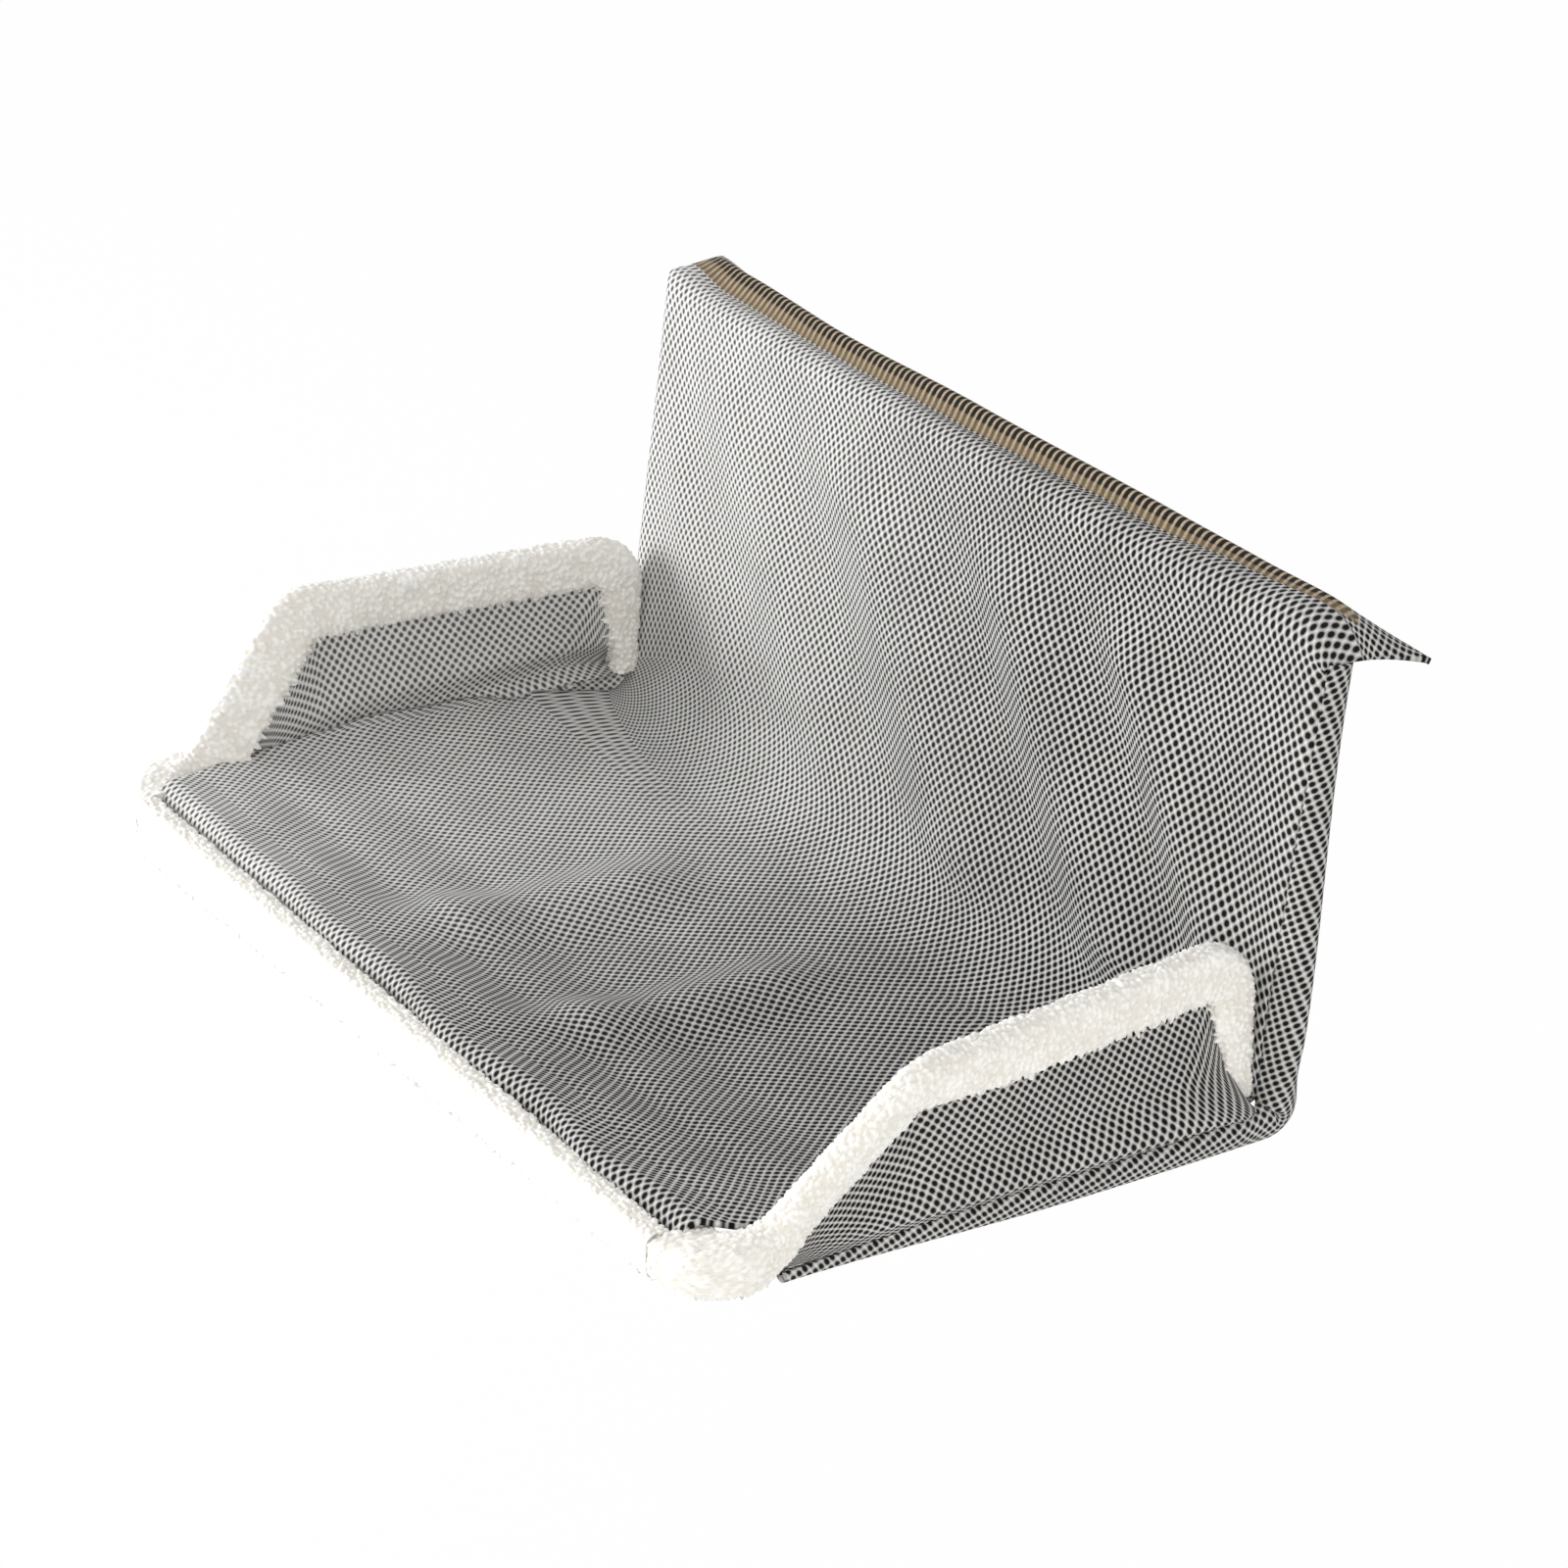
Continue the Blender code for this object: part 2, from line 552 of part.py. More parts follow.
def trim_frames(side):
    """Place, directions and half sizes of the trim's section at each point of its line."""
    line, shares = trim_line(side)
    leg, arm, slope, end = (size / 2 for size in (TRIM_LEG_WIDTH, TRIM_HEIGHT, SLOPE_TRIM_HEIGHT,
                                                  FRONT_TRIM_HEIGHTS[side]))
    thick, thin = TRIM_THICKNESS / 2, SLOPE_TRIM_THICKNESS / 2
    heights = list(zip(HEIGHT_SHARES, (leg, arm, arm, slope, slope, end)))
    drops = list(zip(HEIGHT_SHARES, (0.0, TRIM_DROP, TRIM_DROP, TRIM_DROP, TRIM_DROP, end - FRONT_TRIM_TOP)))
    widths = list(zip(WIDTH_SHARES, (leg, thick, thick, thin, thin, TRIM_END_HALF)))
    rolls = list(zip(ROLL_SHARES, (0.0, 0.0, SLOPE_ROLL, SLOPE_ROLL, 0.0, 0.0)))
    shifts = list(zip(SHIFT_SHARES, (0.0, 0.0, TRIM_END_HALF - TRIM_END_BACK)))
    frames = []
    for point, heading, share in zip(line, tangents(line), shares):
        outside = Vector((side, 0, 0))
        if abs(heading.x) > math.sin(math.radians(18)):
            outside = Vector((-heading.y * side, heading.x * side, 0))
        outside = (outside - heading * outside.dot(heading)).normalized()
        outside.rotate(Quaternion(heading, blend_values(rolls, share) * side))
        up = heading.cross(outside) * side
        centre = point - up * blend_values(drops, share) + outside * blend_values(shifts, share)
        frames.append((centre, up, outside, blend_values(heights, share), blend_values(widths, share)))
    return frames


def arm_trim(side):
    """Padded band round one hoop, slim on the rear leg, full over the arm, rolled out on the slope."""
    name = "left" if side < 0 else "right"
    line = trim_line(side)[0]
    rings = [padded_ring(*frame) for frame in trim_frames(side)]
    piece = add(name + "_arm_trim", loft("trim", rings), CREAM_FLEECE)
    headings = tangents(line)
    ahead = [line[0] - headings[0] * OVERRUN] + line + [line[-1] + headings[-1] * OVERRUN]
    boolean(piece, tube_mesh("bore", ahead, TRIM_BORE))


for side in (-1, 1):
    arm_trim(side)

# Front trim: a padded band along the front roll, between the ends of the arm trims
FRONT_TRIM_Y = FRONT_Y - ROLL_OUTSIDE - TOUCH - FRONT_TRIM_THICKNESS / 2
FRONT_TRIM_SHARES = (-1.0, -0.75, -0.5, -0.25, 0.0, 0.25, 0.5, 0.75, 1.0)


def front_trim():
    """A straight padded strip, tallest at its left end, with its top edge level."""
    rings = []
    for share in FRONT_TRIM_SHARES:
        half = (FRONT_TRIM_HEIGHTS[-1] * (1 - share) + FRONT_TRIM_HEIGHTS[1] * (1 + share)) / 4
        centre = Vector((FRONT_BAR_END * share, FRONT_TRIM_Y, FRONT_Z + FRONT_TRIM_TOP - half))
        rings.append(padded_ring(centre, Vector((0, 0, 1)), Vector((0, -1, 0)), half,
                                 FRONT_TRIM_THICKNESS / 2))
    add("front_trim", loft("trim", rings), CREAM_FLEECE)


front_trim()


def sheet(name, rows, thickness=FABRIC):
    """A cloth panel: a grid whose rows and columns follow the given points, then thickened."""
    work = bmesh.new()
    across, along_rows = len(rows[0]) - 1, len(rows) - 1
    bmesh.ops.create_grid(work, x_segments=across, y_segments=along_rows, size=1.0)
    for vert in work.verts:
        column = round((vert.co.x + 1) / 2 * across)
        row = round((vert.co.y + 1) / 2 * along_rows)
        vert.co = rows[row][column]
    mesh = bpy.data.meshes.new(name)
    work.to_mesh(mesh)
    work.free()
    piece = add(name, mesh, GREY_MESH)
    thick = piece.modifiers.new("cloth", "SOLIDIFY")
    thick.thickness = thickness
    thick.offset = 0.0
    return piece


def spaced_line(corners, radii, arc_steps, run_steps):
    """A bent line with a fixed count of points, so that neighbouring columns match row for row."""
    bent = rounded_path([(0, y, z) for y, z in corners], radii, arc_steps)
    line = [bent[0]]
    at = 0
    for run, count in enumerate(run_steps):
        target = bent[at + 1]
        for step in range(1, count + 1):
            line.append(line[-1].lerp(target, 1 / (count - step + 1)))
        at += 1
        if run < len(radii):
            line.extend(bent[at + 1:at + 1 + arc_steps[run]])
            at += arc_steps[run]
    return line


def ease(low, high, value):
    """Smooth step from 0 at low to 1 at high."""
    share = min(max((value - low) / (high - low), 0.0), 1.0)
    return share * share * (3 - 2 * share)


def cover_at(y, z):
    """A point measured forward and up from the cover's rear bottom edge."""
    return (COVER_Y + y, COVER_Z + z)


# Back panel: a flap over the top bar, then the leaning back, its sweep, and folds across it
COLUMN_SHARES = (-1, -0.98, -0.93, -0.85, -0.74, -0.62, -0.5, -0.39, -0.29, -0.2, -0.11, -0.02, 0.07,
                 0.16, 0.25, 0.34, 0.43, 0.52, 0.61, 0.7, 0.79, 0.87, 0.94, 0.98, 1)
CREST_SHARES = (-1.0, -0.86, -0.5, -0.1, 0.47, 0.7, 0.95, 1.0)
CREST_LIFTS = tuple(lift * MM for lift in (3.5, 1.6, 1.6, 3.2, 5.6, 8.0, 10.6, 10.6))
CREST_SWELLS = tuple(swell * MM for swell in (1.5, 0.0, 0.0, 0.0, 1.5, 3.0, 5.0, 5.0))
VALLEY_REACHES = tuple(reach * MM for reach in (7.5, 6.2, 6.2, 6.2, 8.0, 9.5, 10.0, 10.0))
VALLEY_DIPS = tuple(dip * MM for dip in (0.2, 2.6, 3.2, 3.2, 3.0, 1.6, 0.2, 0.2))
RIDGE_REACHES = tuple(reach * MM for reach in (19.0, 15.5, 12.0, 12.0, 13.0, 14.0, 14.0, 14.0))
RIDGE_RISES = tuple(rise * MM for rise in (7.0, 6.8, 7.0, 9.2, 10.2, 9.8, 11.3, 11.0))
HEM_FALL = math.radians(42)
HEM_SHARES = (-1.0, 0.8, 1.0)
HEM_LENGTHS = (27.0 * MM, 30.0 * MM, 31.0 * MM)
HEM_BEND = 2.4 * MM
HEM_CURL = 5.0 * MM
HEM_CURL_POWER = 30
VALLEY_BEND = 2.0 * MM
HEM_FLARES = {-1: 6.0 * MM, 1: 16.0 * MM}
BACK_HALF_WIDTH = HALF_WIDTH + COVER_MIDDLE * math.sin(math.radians(18))
SEAT_FRONT_INSETS = ((7.0 * MM, 20.0 * MM), (15.0 * MM, 11.0 * MM), (32.0 * MM, 9.0 * MM),
                     (50.0 * MM, 5.0 * MM), (70.0 * MM, 0.0))
SEAT_REAR_INSETS = ((75.0 * MM, 0.0), (45.0 * MM, 10.0 * MM), (30.0 * MM, 18.5 * MM), (0.0, 18.5 * MM))
SEAT_WIDTHS = [(place - SEAT_REACH, HALF_WIDTH - inset) for place, inset in SEAT_FRONT_INSETS]
SEAT_WIDTHS += [(-place, HALF_WIDTH - inset) for place, inset in SEAT_REAR_INSETS]
SWEEP_NARROW_LOW = 26.0 * MM
SWEEP_NARROW_HIGH = 38.0 * MM
SWEEP_RADIUS = 50.0 * MM
SWEEP_SIDE_RADIUS = 12.0 * MM
SWEEP_END = -62.0 * MM
SWEEP_LEVEL = 4.0 * MM
SWEEP_SIDE_RISE = 10.0 * MM
FOLD_LEVEL = 70.0 * MM
FOLD_SLANT = 0.8
FOLD_FADE_IN = 4.0 * MM
FOLD_FADE_OUT = 30.0 * MM
FOLD_LOW_FADE = (14.0 * MM, 42.0 * MM)
FOLD_HIGH_FADE = (148.0 * MM, 182.0 * MM)
FOLD_VALLEY_SHARES = (-0.908, -0.620, -0.213, 0.301, 0.713, 1.027)
FOLD_VALLEYS = tuple(BACK_HALF_WIDTH * share for share in FOLD_VALLEY_SHARES)
FOLD_RISES = (1.5 * MM, 3.0 * MM, 6.0 * MM, 6.0 * MM, 5.0 * MM)


def fold_rise(x, height):
    """How far the cloth swells forward of the plain back at a place."""
    place = x + FOLD_SLANT * (height - FOLD_LEVEL)
    rise = 0.0
    for low, high, top in zip(FOLD_VALLEYS, FOLD_VALLEYS[1:], FOLD_RISES):
        if low < place < high:
            rise = top * math.sin(math.pi * (place - low) / (high - low)) ** 2
    fade = 1 - ease(BACK_HALF_WIDTH - FOLD_FADE_OUT, BACK_HALF_WIDTH - FOLD_FADE_IN, abs(x))
    return rise * fade * ease(*FOLD_LOW_FADE, height) * (1 - ease(*FOLD_HIGH_FADE, height))


def crest_value(values, share):
    """A size of the panel's top edge at a share of its half width."""
    return blend_values(list(zip(CREST_SHARES, values)), share)


def back_line(share):
    """The back panel's section at a share of its half width, from the hem's tip down to the seam."""
    side = abs(share) ** 3
    bar_y = upright_y(TOP_BAR_Z)
    crest_z = TOP_BAR_Z + COVER_MIDDLE + crest_value(CREST_LIFTS, share)
    ridge = (bar_y + crest_value(RIDGE_REACHES, share),
             TOP_BAR_Z + COVER_MIDDLE + crest_value(RIDGE_RISES, share))
    length = blend_values(list(zip(HEM_SHARES, HEM_LENGTHS)), share)
    tip = (ridge[0] + length * math.cos(HEM_FALL), ridge[1] - length * math.sin(HEM_FALL))
    valley = (bar_y + crest_value(VALLEY_REACHES, share), crest_z - crest_value(VALLEY_DIPS, share))
    offset = COVER_MIDDLE / math.cos(BACK_LEAN)
    low_z = COVER_Z + SWEEP_LEVEL
    corners = (tip, ridge, valley, (upright_y(crest_z) - offset, crest_z),
               (upright_y(low_z) - offset, low_z), cover_at(SWEEP_END, SWEEP_LEVEL + SWEEP_SIDE_RISE * side))
    radii = (HEM_BEND, VALLEY_BEND, COVER_MIDDLE + crest_value(CREST_SWELLS, share),
             SWEEP_RADIUS + (SWEEP_SIDE_RADIUS - SWEEP_RADIUS) * side)
    return spaced_line(corners, radii, (2, 2, 4, 4), (2, 1, 1, 7, 1))


back_columns = []
for share in COLUMN_SHARES:
    column = []
    points = back_line(share)
    bar_y = upright_y(TOP_BAR_Z)
    for point in points:
        height = point.z - COVER_Z
        half = blend_values(SEAT_WIDTHS, point.y - COVER_Y)
        half += (BACK_HALF_WIDTH - half) * ease(SWEEP_NARROW_LOW, SWEEP_NARROW_HIGH, height)
        over = min(max((point.y - bar_y) / (points[0].y - bar_y), 0), 1)
        half += HEM_FLARES[1 if share > 0 else -1] * over
        x = share * half
        past = min(max(abs(x) - HALF_WIDTH, 0) / COVER_MIDDLE, 1)
        hugs = 1 - ease(TOP_BAR_Z, TOP_BAR_Z + COVER_MIDDLE, point.z) if point.y < bar_y else 0.0
        back = COVER_MIDDLE * (1 - math.sqrt(1 - past * past)) * hugs
        rise = fold_rise(x, height) if point.y < bar_y else 0.0
        curl = HEM_CURL * over * abs(share) ** HEM_CURL_POWER
        column.append(Vector((x, point.y + back - rise, point.z - curl)))
    back_columns.append(column)
sheet("back_panel", list(zip(*back_columns)))

# Seat panel: from the sweep's seam forward over a shallow sag, up to and round the front bar
SEAM_GAP = 0.4 * MM
SEAT_STATIONS = (0.12, 0.24, 0.37, 0.5, 0.63, 0.76, 0.88)
SEAT_MIDDLE_HEIGHTS = ((0.0, SWEEP_LEVEL), (0.3, 3.0 * MM), (0.55, 5.0 * MM), (0.8, 14.0 * MM),
                       (1.0, 26.0 * MM))
SEAT_SIDE_HEIGHTS = ((0.0, SWEEP_LEVEL + SWEEP_SIDE_RISE), (0.3, 19.5 * MM), (0.55, 24.0 * MM),
                     (0.8, 26.5 * MM), (1.0, 28.0 * MM))
ROLL_SETBACK = 13.0 * MM
ROLL_START = ROLL_SETBACK - SEAT_REACH
ROLL_FROM = math.radians(80)
ROLL_TURN = math.radians(215)
ROLL_STEPS = 8


def seat_line(share):
    """The seat panel's section at a share of its half width."""
    side = abs(share) ** 3
    start = SWEEP_END - SEAM_GAP
    line = []
    for station in (0.0,) + SEAT_STATIONS + (1.0,):
        low = blend_values(SEAT_MIDDLE_HEIGHTS, station)
        high = blend_values(SEAT_SIDE_HEIGHTS, station)
        y, z = cover_at(start + (ROLL_START - start) * station, low + (high - low) * side)
        line.append(Vector((0, y, z)))
    for step in range(ROLL_STEPS + 1):
        turn = ROLL_FROM + ROLL_TURN * step / ROLL_STEPS
        line.append(Vector((0, FRONT_Y + ROLL_MIDDLE * math.cos(turn),
                            FRONT_Z + ROLL_MIDDLE * math.sin(turn))))
    return line


seat_columns = []
for share in COLUMN_SHARES:
    column = []
    for point in seat_line(share):
        half = blend_values(SEAT_WIDTHS, point.y - COVER_Y)
        column.append(Vector((share * half, point.y, point.z)))
    seat_columns.append(column)
sheet("seat_panel", list(zip(*seat_columns)))

# Side strips: fabric bands down the outside of the uprights, round the corner and along the bottom
STRIP_BEND = 3.5 * MM
STRIP_TOP_OVER = 6.0 * MM
STRIP_FRONT_GAP = 25.0 * MM
STRIP_TOP = TOP_BAR_Z - COVER_Z + STRIP_TOP_OVER
STRIP_END = STRIP_FRONT_GAP - SEAT_REACH
STRIP_END_RADIUS = 2.6 * MM
STRIP_STEPS = 8
STRIP_SPACING = 24.0 * MM
STRIP_LAP = 3.4 * MM
STRIP_LOW_LAP_SHARE = 0.88
STRIP_FOOT_LAP = 7.0 * MM
STRIP_FOOT_HEIGHTS = (34.0 * MM, 46.0 * MM)
STRIP_LAP_DEPTHS = (0.0, 20.0 * MM)
STRIP_UNDER_DEPTHS = (8.0 * MM, 24.0 * MM)
STRIP_SIDES = {-1: 0.5 * MM, 1: 1.5 * MM}
STRIP_BULGES = {-1: 2.5 * MM, 1: 9.0 * MM}
STRIP_BULGE_HEIGHTS = (40.0 * MM, 180.0 * MM)
STRIP_BULGE_START = 10.0 * MM
STRIP_BULGE_FRONT = 56.0 * MM
STRIP_DRAW = 3.5 * MM
STRIP_DRAW_HEIGHTS = (6.0 * MM, 45.0 * MM)
STRIP_SAG = 6.0 * MM
STRIP_SAG_HEIGHTS = (8.0 * MM, 34.0 * MM)
STRIP_SAG_START = 90.0 * MM
STRIP_SAG_FRONT = 10.0 * MM
STRIP_END_ANGLE = math.radians(112)
STRIP_UNDER_ANGLE = math.radians(150)


def strip_section(side, y, z):
    """Half height, half width, sag and start angle of the strip where its line passes a place."""
    height, depth = z - COVER_Z, COVER_Y - y
    share = min(max(-depth / STRIP_END, 0), 1)
    tall = COVER_MIDDLE + (STRIP_END_RADIUS - COVER_MIDDLE) * share
    swell = STRIP_SIDES[side] + STRIP_BULGES[side] * (1 - ease(*STRIP_BULGE_HEIGHTS, height))
    swell -= min(STRIP_DRAW, STRIP_BULGES[side]) * (1 - ease(*STRIP_DRAW_HEIGHTS, height))
    wide = tall + swell * (1 - ease(STRIP_BULGE_START, SEAT_REACH - STRIP_BULGE_FRONT, depth))
    sag = STRIP_SAG * (1 - ease(*STRIP_SAG_HEIGHTS, height))
    sag *= 1 - ease(STRIP_SAG_START, SEAT_REACH - STRIP_SAG_FRONT, depth)
    lap = STRIP_LAP + (STRIP_FOOT_LAP - STRIP_LAP) * (1 - ease(*STRIP_FOOT_HEIGHTS, height))
    lap += (wide * STRIP_LOW_LAP_SHARE - lap) * ease(*STRIP_LAP_DEPTHS, depth)
    return tall, wide, sag, -math.acos(lap / wide)


def side_strip(side):
    """One strip, a channel in section."""
    name = "left" if side < 0 else "right"
    top_z = COVER_Z + STRIP_TOP
    low_z = COVER_Z + COVER_RADIUS
    x = side * HALF_WIDTH
    bent = rounded_path([(x, upright_y(top_z), top_z), (x, upright_y(low_z), low_z),
                         (x, COVER_Y + STRIP_END, low_z)], (STRIP_BEND,), (4,))
    line = split_long(bent, STRIP_SPACING)
    rows = []
    for point, heading in zip(line, tangents(line)):
        outside = Vector((side, 0, 0))
        behind = Vector((0, -heading.z, heading.y))
        tall, wide, sag, start = strip_section(side, point.y, point.z)
        under = ease(*STRIP_UNDER_DEPTHS, COVER_Y - point.y)
        end = STRIP_END_ANGLE + (STRIP_UNDER_ANGLE - STRIP_END_ANGLE) * under
        turns = [start + (end - start) * step / STRIP_STEPS for step in range(STRIP_STEPS + 1)]
        rows.append([point + outside * (math.cos(t) * (wide if math.cos(t) > 0 else tall))
                     + behind * (math.sin(t) * (tall + sag if t > 0 else tall)) for t in turns])
    sheet(name + "_side_strip", rows)


for side in (-1, 1):
    side_strip(side)

# Side walls: mesh inside the arms, from the bottom strips up to the arm trims
WALL_STEPS = 12
WALL_ROWS = 5
WALL_GAP = 1.7 * MM
WALL_SEAM_GAP = 0.8 * MM
WALL_LAST_SHARE = 0.84


def wall_top(side):
    """The arm trim's lower edge, from the rear leg forward."""
    top = []
    for frame, share in zip(trim_frames(side), trim_line(side)[1]):
        centre, up, half_height = frame[0], frame[1], frame[3]
        if share <= WALL_LAST_SHARE:
            top.append(centre - up * (half_height + WALL_GAP))
    return top


def along(line, share):
    """The point at a share of a line's length."""
    lengths = [(far - near).length for near, far in zip(line, line[1:])]
    goal = share * sum(lengths)
    for near, far, length in zip(line, line[1:], lengths):
        if goal <= length:
            return near.lerp(far, goal / length)
        goal -= length
    return line[-1].copy()


def side_wall(side):
    """One wall of mesh, ruled from the strip's edge to the trim's."""
    name = "left" if side < 0 else "right"
    top = wall_top(side)
    low_z = COVER_Z + COVER_RADIUS
    rows = []
    for step in range(WALL_STEPS + 1):
        share = step / WALL_STEPS
        upper = along(top, share)
        y = top[0].y + (top[-1].y - top[0].y) * share
        tall, wide, sag, start = strip_section(side, y, low_z)
        edge = Vector((side * (HALF_WIDTH + wide * math.cos(start)), y,
                       low_z - tall * math.sin(start) + FABRIC / 2 + WALL_SEAM_GAP))
        rows.append([edge.lerp(upper, row / WALL_ROWS) for row in range(WALL_ROWS + 1)])
    sheet(name + "_side_wall", rows)


for side in (-1, 1):
    side_wall(side)
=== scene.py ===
import math

import bmesh
import bpy
from mathutils import Matrix, Quaternion, Vector, noise


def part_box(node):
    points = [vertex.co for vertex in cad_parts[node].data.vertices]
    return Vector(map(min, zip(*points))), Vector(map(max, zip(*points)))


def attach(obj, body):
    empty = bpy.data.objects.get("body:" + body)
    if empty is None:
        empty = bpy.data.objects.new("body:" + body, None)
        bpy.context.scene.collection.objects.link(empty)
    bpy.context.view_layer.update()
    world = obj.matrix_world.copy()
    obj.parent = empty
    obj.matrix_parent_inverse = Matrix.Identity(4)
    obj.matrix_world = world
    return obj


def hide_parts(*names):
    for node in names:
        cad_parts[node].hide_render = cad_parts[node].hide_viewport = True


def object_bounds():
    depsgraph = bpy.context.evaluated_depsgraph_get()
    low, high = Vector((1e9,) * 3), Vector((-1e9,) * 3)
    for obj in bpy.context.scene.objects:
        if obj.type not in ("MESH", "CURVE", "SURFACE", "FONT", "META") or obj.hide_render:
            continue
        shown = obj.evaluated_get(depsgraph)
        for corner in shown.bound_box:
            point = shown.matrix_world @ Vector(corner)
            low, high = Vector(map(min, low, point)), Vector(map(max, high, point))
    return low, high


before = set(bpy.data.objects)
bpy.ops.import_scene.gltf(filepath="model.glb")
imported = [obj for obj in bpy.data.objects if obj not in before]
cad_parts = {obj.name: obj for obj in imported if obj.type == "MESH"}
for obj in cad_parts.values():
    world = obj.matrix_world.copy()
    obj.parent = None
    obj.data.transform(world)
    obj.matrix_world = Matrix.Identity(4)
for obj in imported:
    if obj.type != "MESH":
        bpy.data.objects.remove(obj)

cad_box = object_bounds()
MM = 0.001


# Studio: the hammock hangs well above a pale floor, in soft light from its front left and from a weaker,
# warmer lamp on its right, as in a product picture. The floor and the air look white to the camera.
FLOOR_DROP = 320 * MM
FLOOR_SIZE = 12.0
FLOOR_PALE, FLOOR_GLOW = (0.9, 0.9, 0.9), 0.96
WHITE = (1.0, 1.0, 1.0)
LAMP_TARGET = (0, -0.1, -0.05)
LENS, SENSOR = 112.5, 36.0
CAMERA_TURN = math.radians(56.6514)
CAMERA_RISE = math.radians(27.3621)
CAMERA_REACH = 2.0023
CAMERA_TARGET = Vector((0, -98.9 * MM, -74.4 * MM))
AIR_LEVEL = 0.72


class Wire:
    """A socket that can be used in arithmetic, and that adds the nodes it needs to its tree."""

    def __init__(self, tree, socket):
        self.tree, self.socket = tree, socket

    def node(self, kind, settings=(), values=(), out=0):
        """Add any node: its settings first, then the values or links of its sockets."""
        made = self.tree.nodes.new("ShaderNode" + kind)
        for name, value in dict(settings).items():
            setattr(made, name, value)
        for name, value in dict(values).items():
            if isinstance(value, Wire):
                self.tree.links.new(value.socket, made.inputs[name])
            else:
                made.inputs[name].default_value = value
        return Wire(self.tree, made.outputs[out])

    def math(self, operation, *values, clamp=False):
        return self.node("Math", {"operation": operation, "use_clamp": clamp},
                         {slot: value for slot, value in enumerate((self,) + values)})

    def __add__(self, other):
        return self.math("ADD", other)

    def __sub__(self, other):
        return self.math("SUBTRACT", other)

    def __mul__(self, other):
        return self.math("MULTIPLY", other)

    def __truediv__(self, other):
        return self.math("DIVIDE", other)

    def __rsub__(self, other):
        return (self * -1.0) + other

    def step(self, low, high, start=0.0, end=1.0):
        """Smooth change from start at low to end at high."""
        ends = {"From Min": low, "From Max": high, "To Min": start, "To Max": end}
        return self.node("MapRange", {"interpolation_type": "SMOOTHSTEP"}, {"Value": self, **ends})

    def mix(self, first, second):
        """Two colours mixed by this socket."""
        return self.node("Mix", {"data_type": "RGBA"}, {"Factor": self, 6: first, 7: second}, out=2)


def surface(name, **constants):
    """A Principled material with its constant sockets set, and a wire to build its patterns from."""
    made = bpy.data.materials.new(name)
    made.use_nodes = True
    shader = made.node_tree.nodes["Principled BSDF"]
    for key, value in constants.items():
        shader.inputs[key.replace("_", " ").title()].default_value = value
    return made, shader, Wire(made.node_tree, None)


def join(shader, **links):
    """Link wires to the shader's sockets."""
    for key, wire in links.items():
        wire.tree.links.new(wire.socket, shader.inputs[key.replace("_", " ").title()])


def shade(color):
    """A colour as a socket takes it."""
    return (*color, 1.0)


def emit(tree, strength):
    """A value of the given strength for rays from the camera, mirrors and glass, and 0 for the rest."""
    path = tree.nodes.new("ShaderNodeLightPath")
    seen = Wire(tree, path.outputs["Is Camera Ray"]) + Wire(tree, path.outputs["Is Glossy Ray"])
    seen = (seen + Wire(tree, path.outputs["Is Transmission Ray"])).math("MINIMUM", 1.0)
    return seen * strength


world = bpy.data.worlds.new("studio_air")
bpy.context.scene.world = world
world.use_nodes = True
air = world.node_tree.nodes["Background"]
air.inputs["Color"].default_value = shade(WHITE)
seen = emit(world.node_tree, 1.0 - AIR_LEVEL)
world.node_tree.links.new((seen + AIR_LEVEL).socket, air.inputs["Strength"])

work = bmesh.new()
bmesh.ops.create_grid(work, x_segments=1, y_segments=1, size=FLOOR_SIZE / 2)
floor_z = cad_box[0].z - FLOOR_DROP
bmesh.ops.translate(work, vec=(0, 0, floor_z), verts=work.verts)
floor_mesh = bpy.data.meshes.new("floor")
work.to_mesh(floor_mesh)
work.free()
floor = bpy.data.objects.new("floor", floor_mesh)
bpy.context.scene.collection.objects.link(floor)
pale, shader, ink = surface("pale_floor", base_color=shade(FLOOR_PALE), roughness=0.9)
glow = emit(pale.node_tree, FLOOR_GLOW)
tree = pale.node_tree
lamp_white = tree.nodes.new("ShaderNodeEmission")
blend = tree.nodes.new("ShaderNodeMixShader")
tree.links.new(glow.socket, blend.inputs[0])
tree.links.new(shader.outputs[0], blend.inputs[1])
tree.links.new(lamp_white.outputs[0], blend.inputs[2])
tree.links.new(blend.outputs[0], tree.nodes["Material Output"].inputs["Surface"])
floor_mesh.materials.append(pale)


def area_lamp(name, place, size, power, color=WHITE):
    """A square soft light that looks at the hammock."""
    lamp = bpy.data.lights.new(name, "AREA")
    lamp.shape, lamp.size, lamp.energy, lamp.color = "SQUARE", size, power, color
    holder = bpy.data.objects.new(name, lamp)
    bpy.context.scene.collection.objects.link(holder)
    holder.location = place
    holder.rotation_euler = (Vector(place) - Vector(LAMP_TARGET)).to_track_quat("Z", "Y").to_euler()


area_lamp("key_lamp", (-1.6, -2.0, 0.55), size=1.1, power=46)
area_lamp("side_lamp", (1.9, -1.2, 0.6), size=0.9, power=12, color=(1.0, 0.96, 0.90))

camera = bpy.data.objects.new("camera", bpy.data.cameras.new("camera"))
bpy.context.scene.collection.objects.link(camera)
camera.data.lens, camera.data.sensor_width = LENS, SENSOR
back = Vector((math.sin(CAMERA_TURN) * math.cos(CAMERA_RISE),
               -math.cos(CAMERA_TURN) * math.cos(CAMERA_RISE), math.sin(CAMERA_RISE)))
camera.location = CAMERA_TARGET + back * CAMERA_REACH
camera.rotation_euler = back.to_track_quat("Z", "Y").to_euler()
bpy.context.scene.camera = camera
bpy.context.scene.view_settings.view_transform = "Standard"


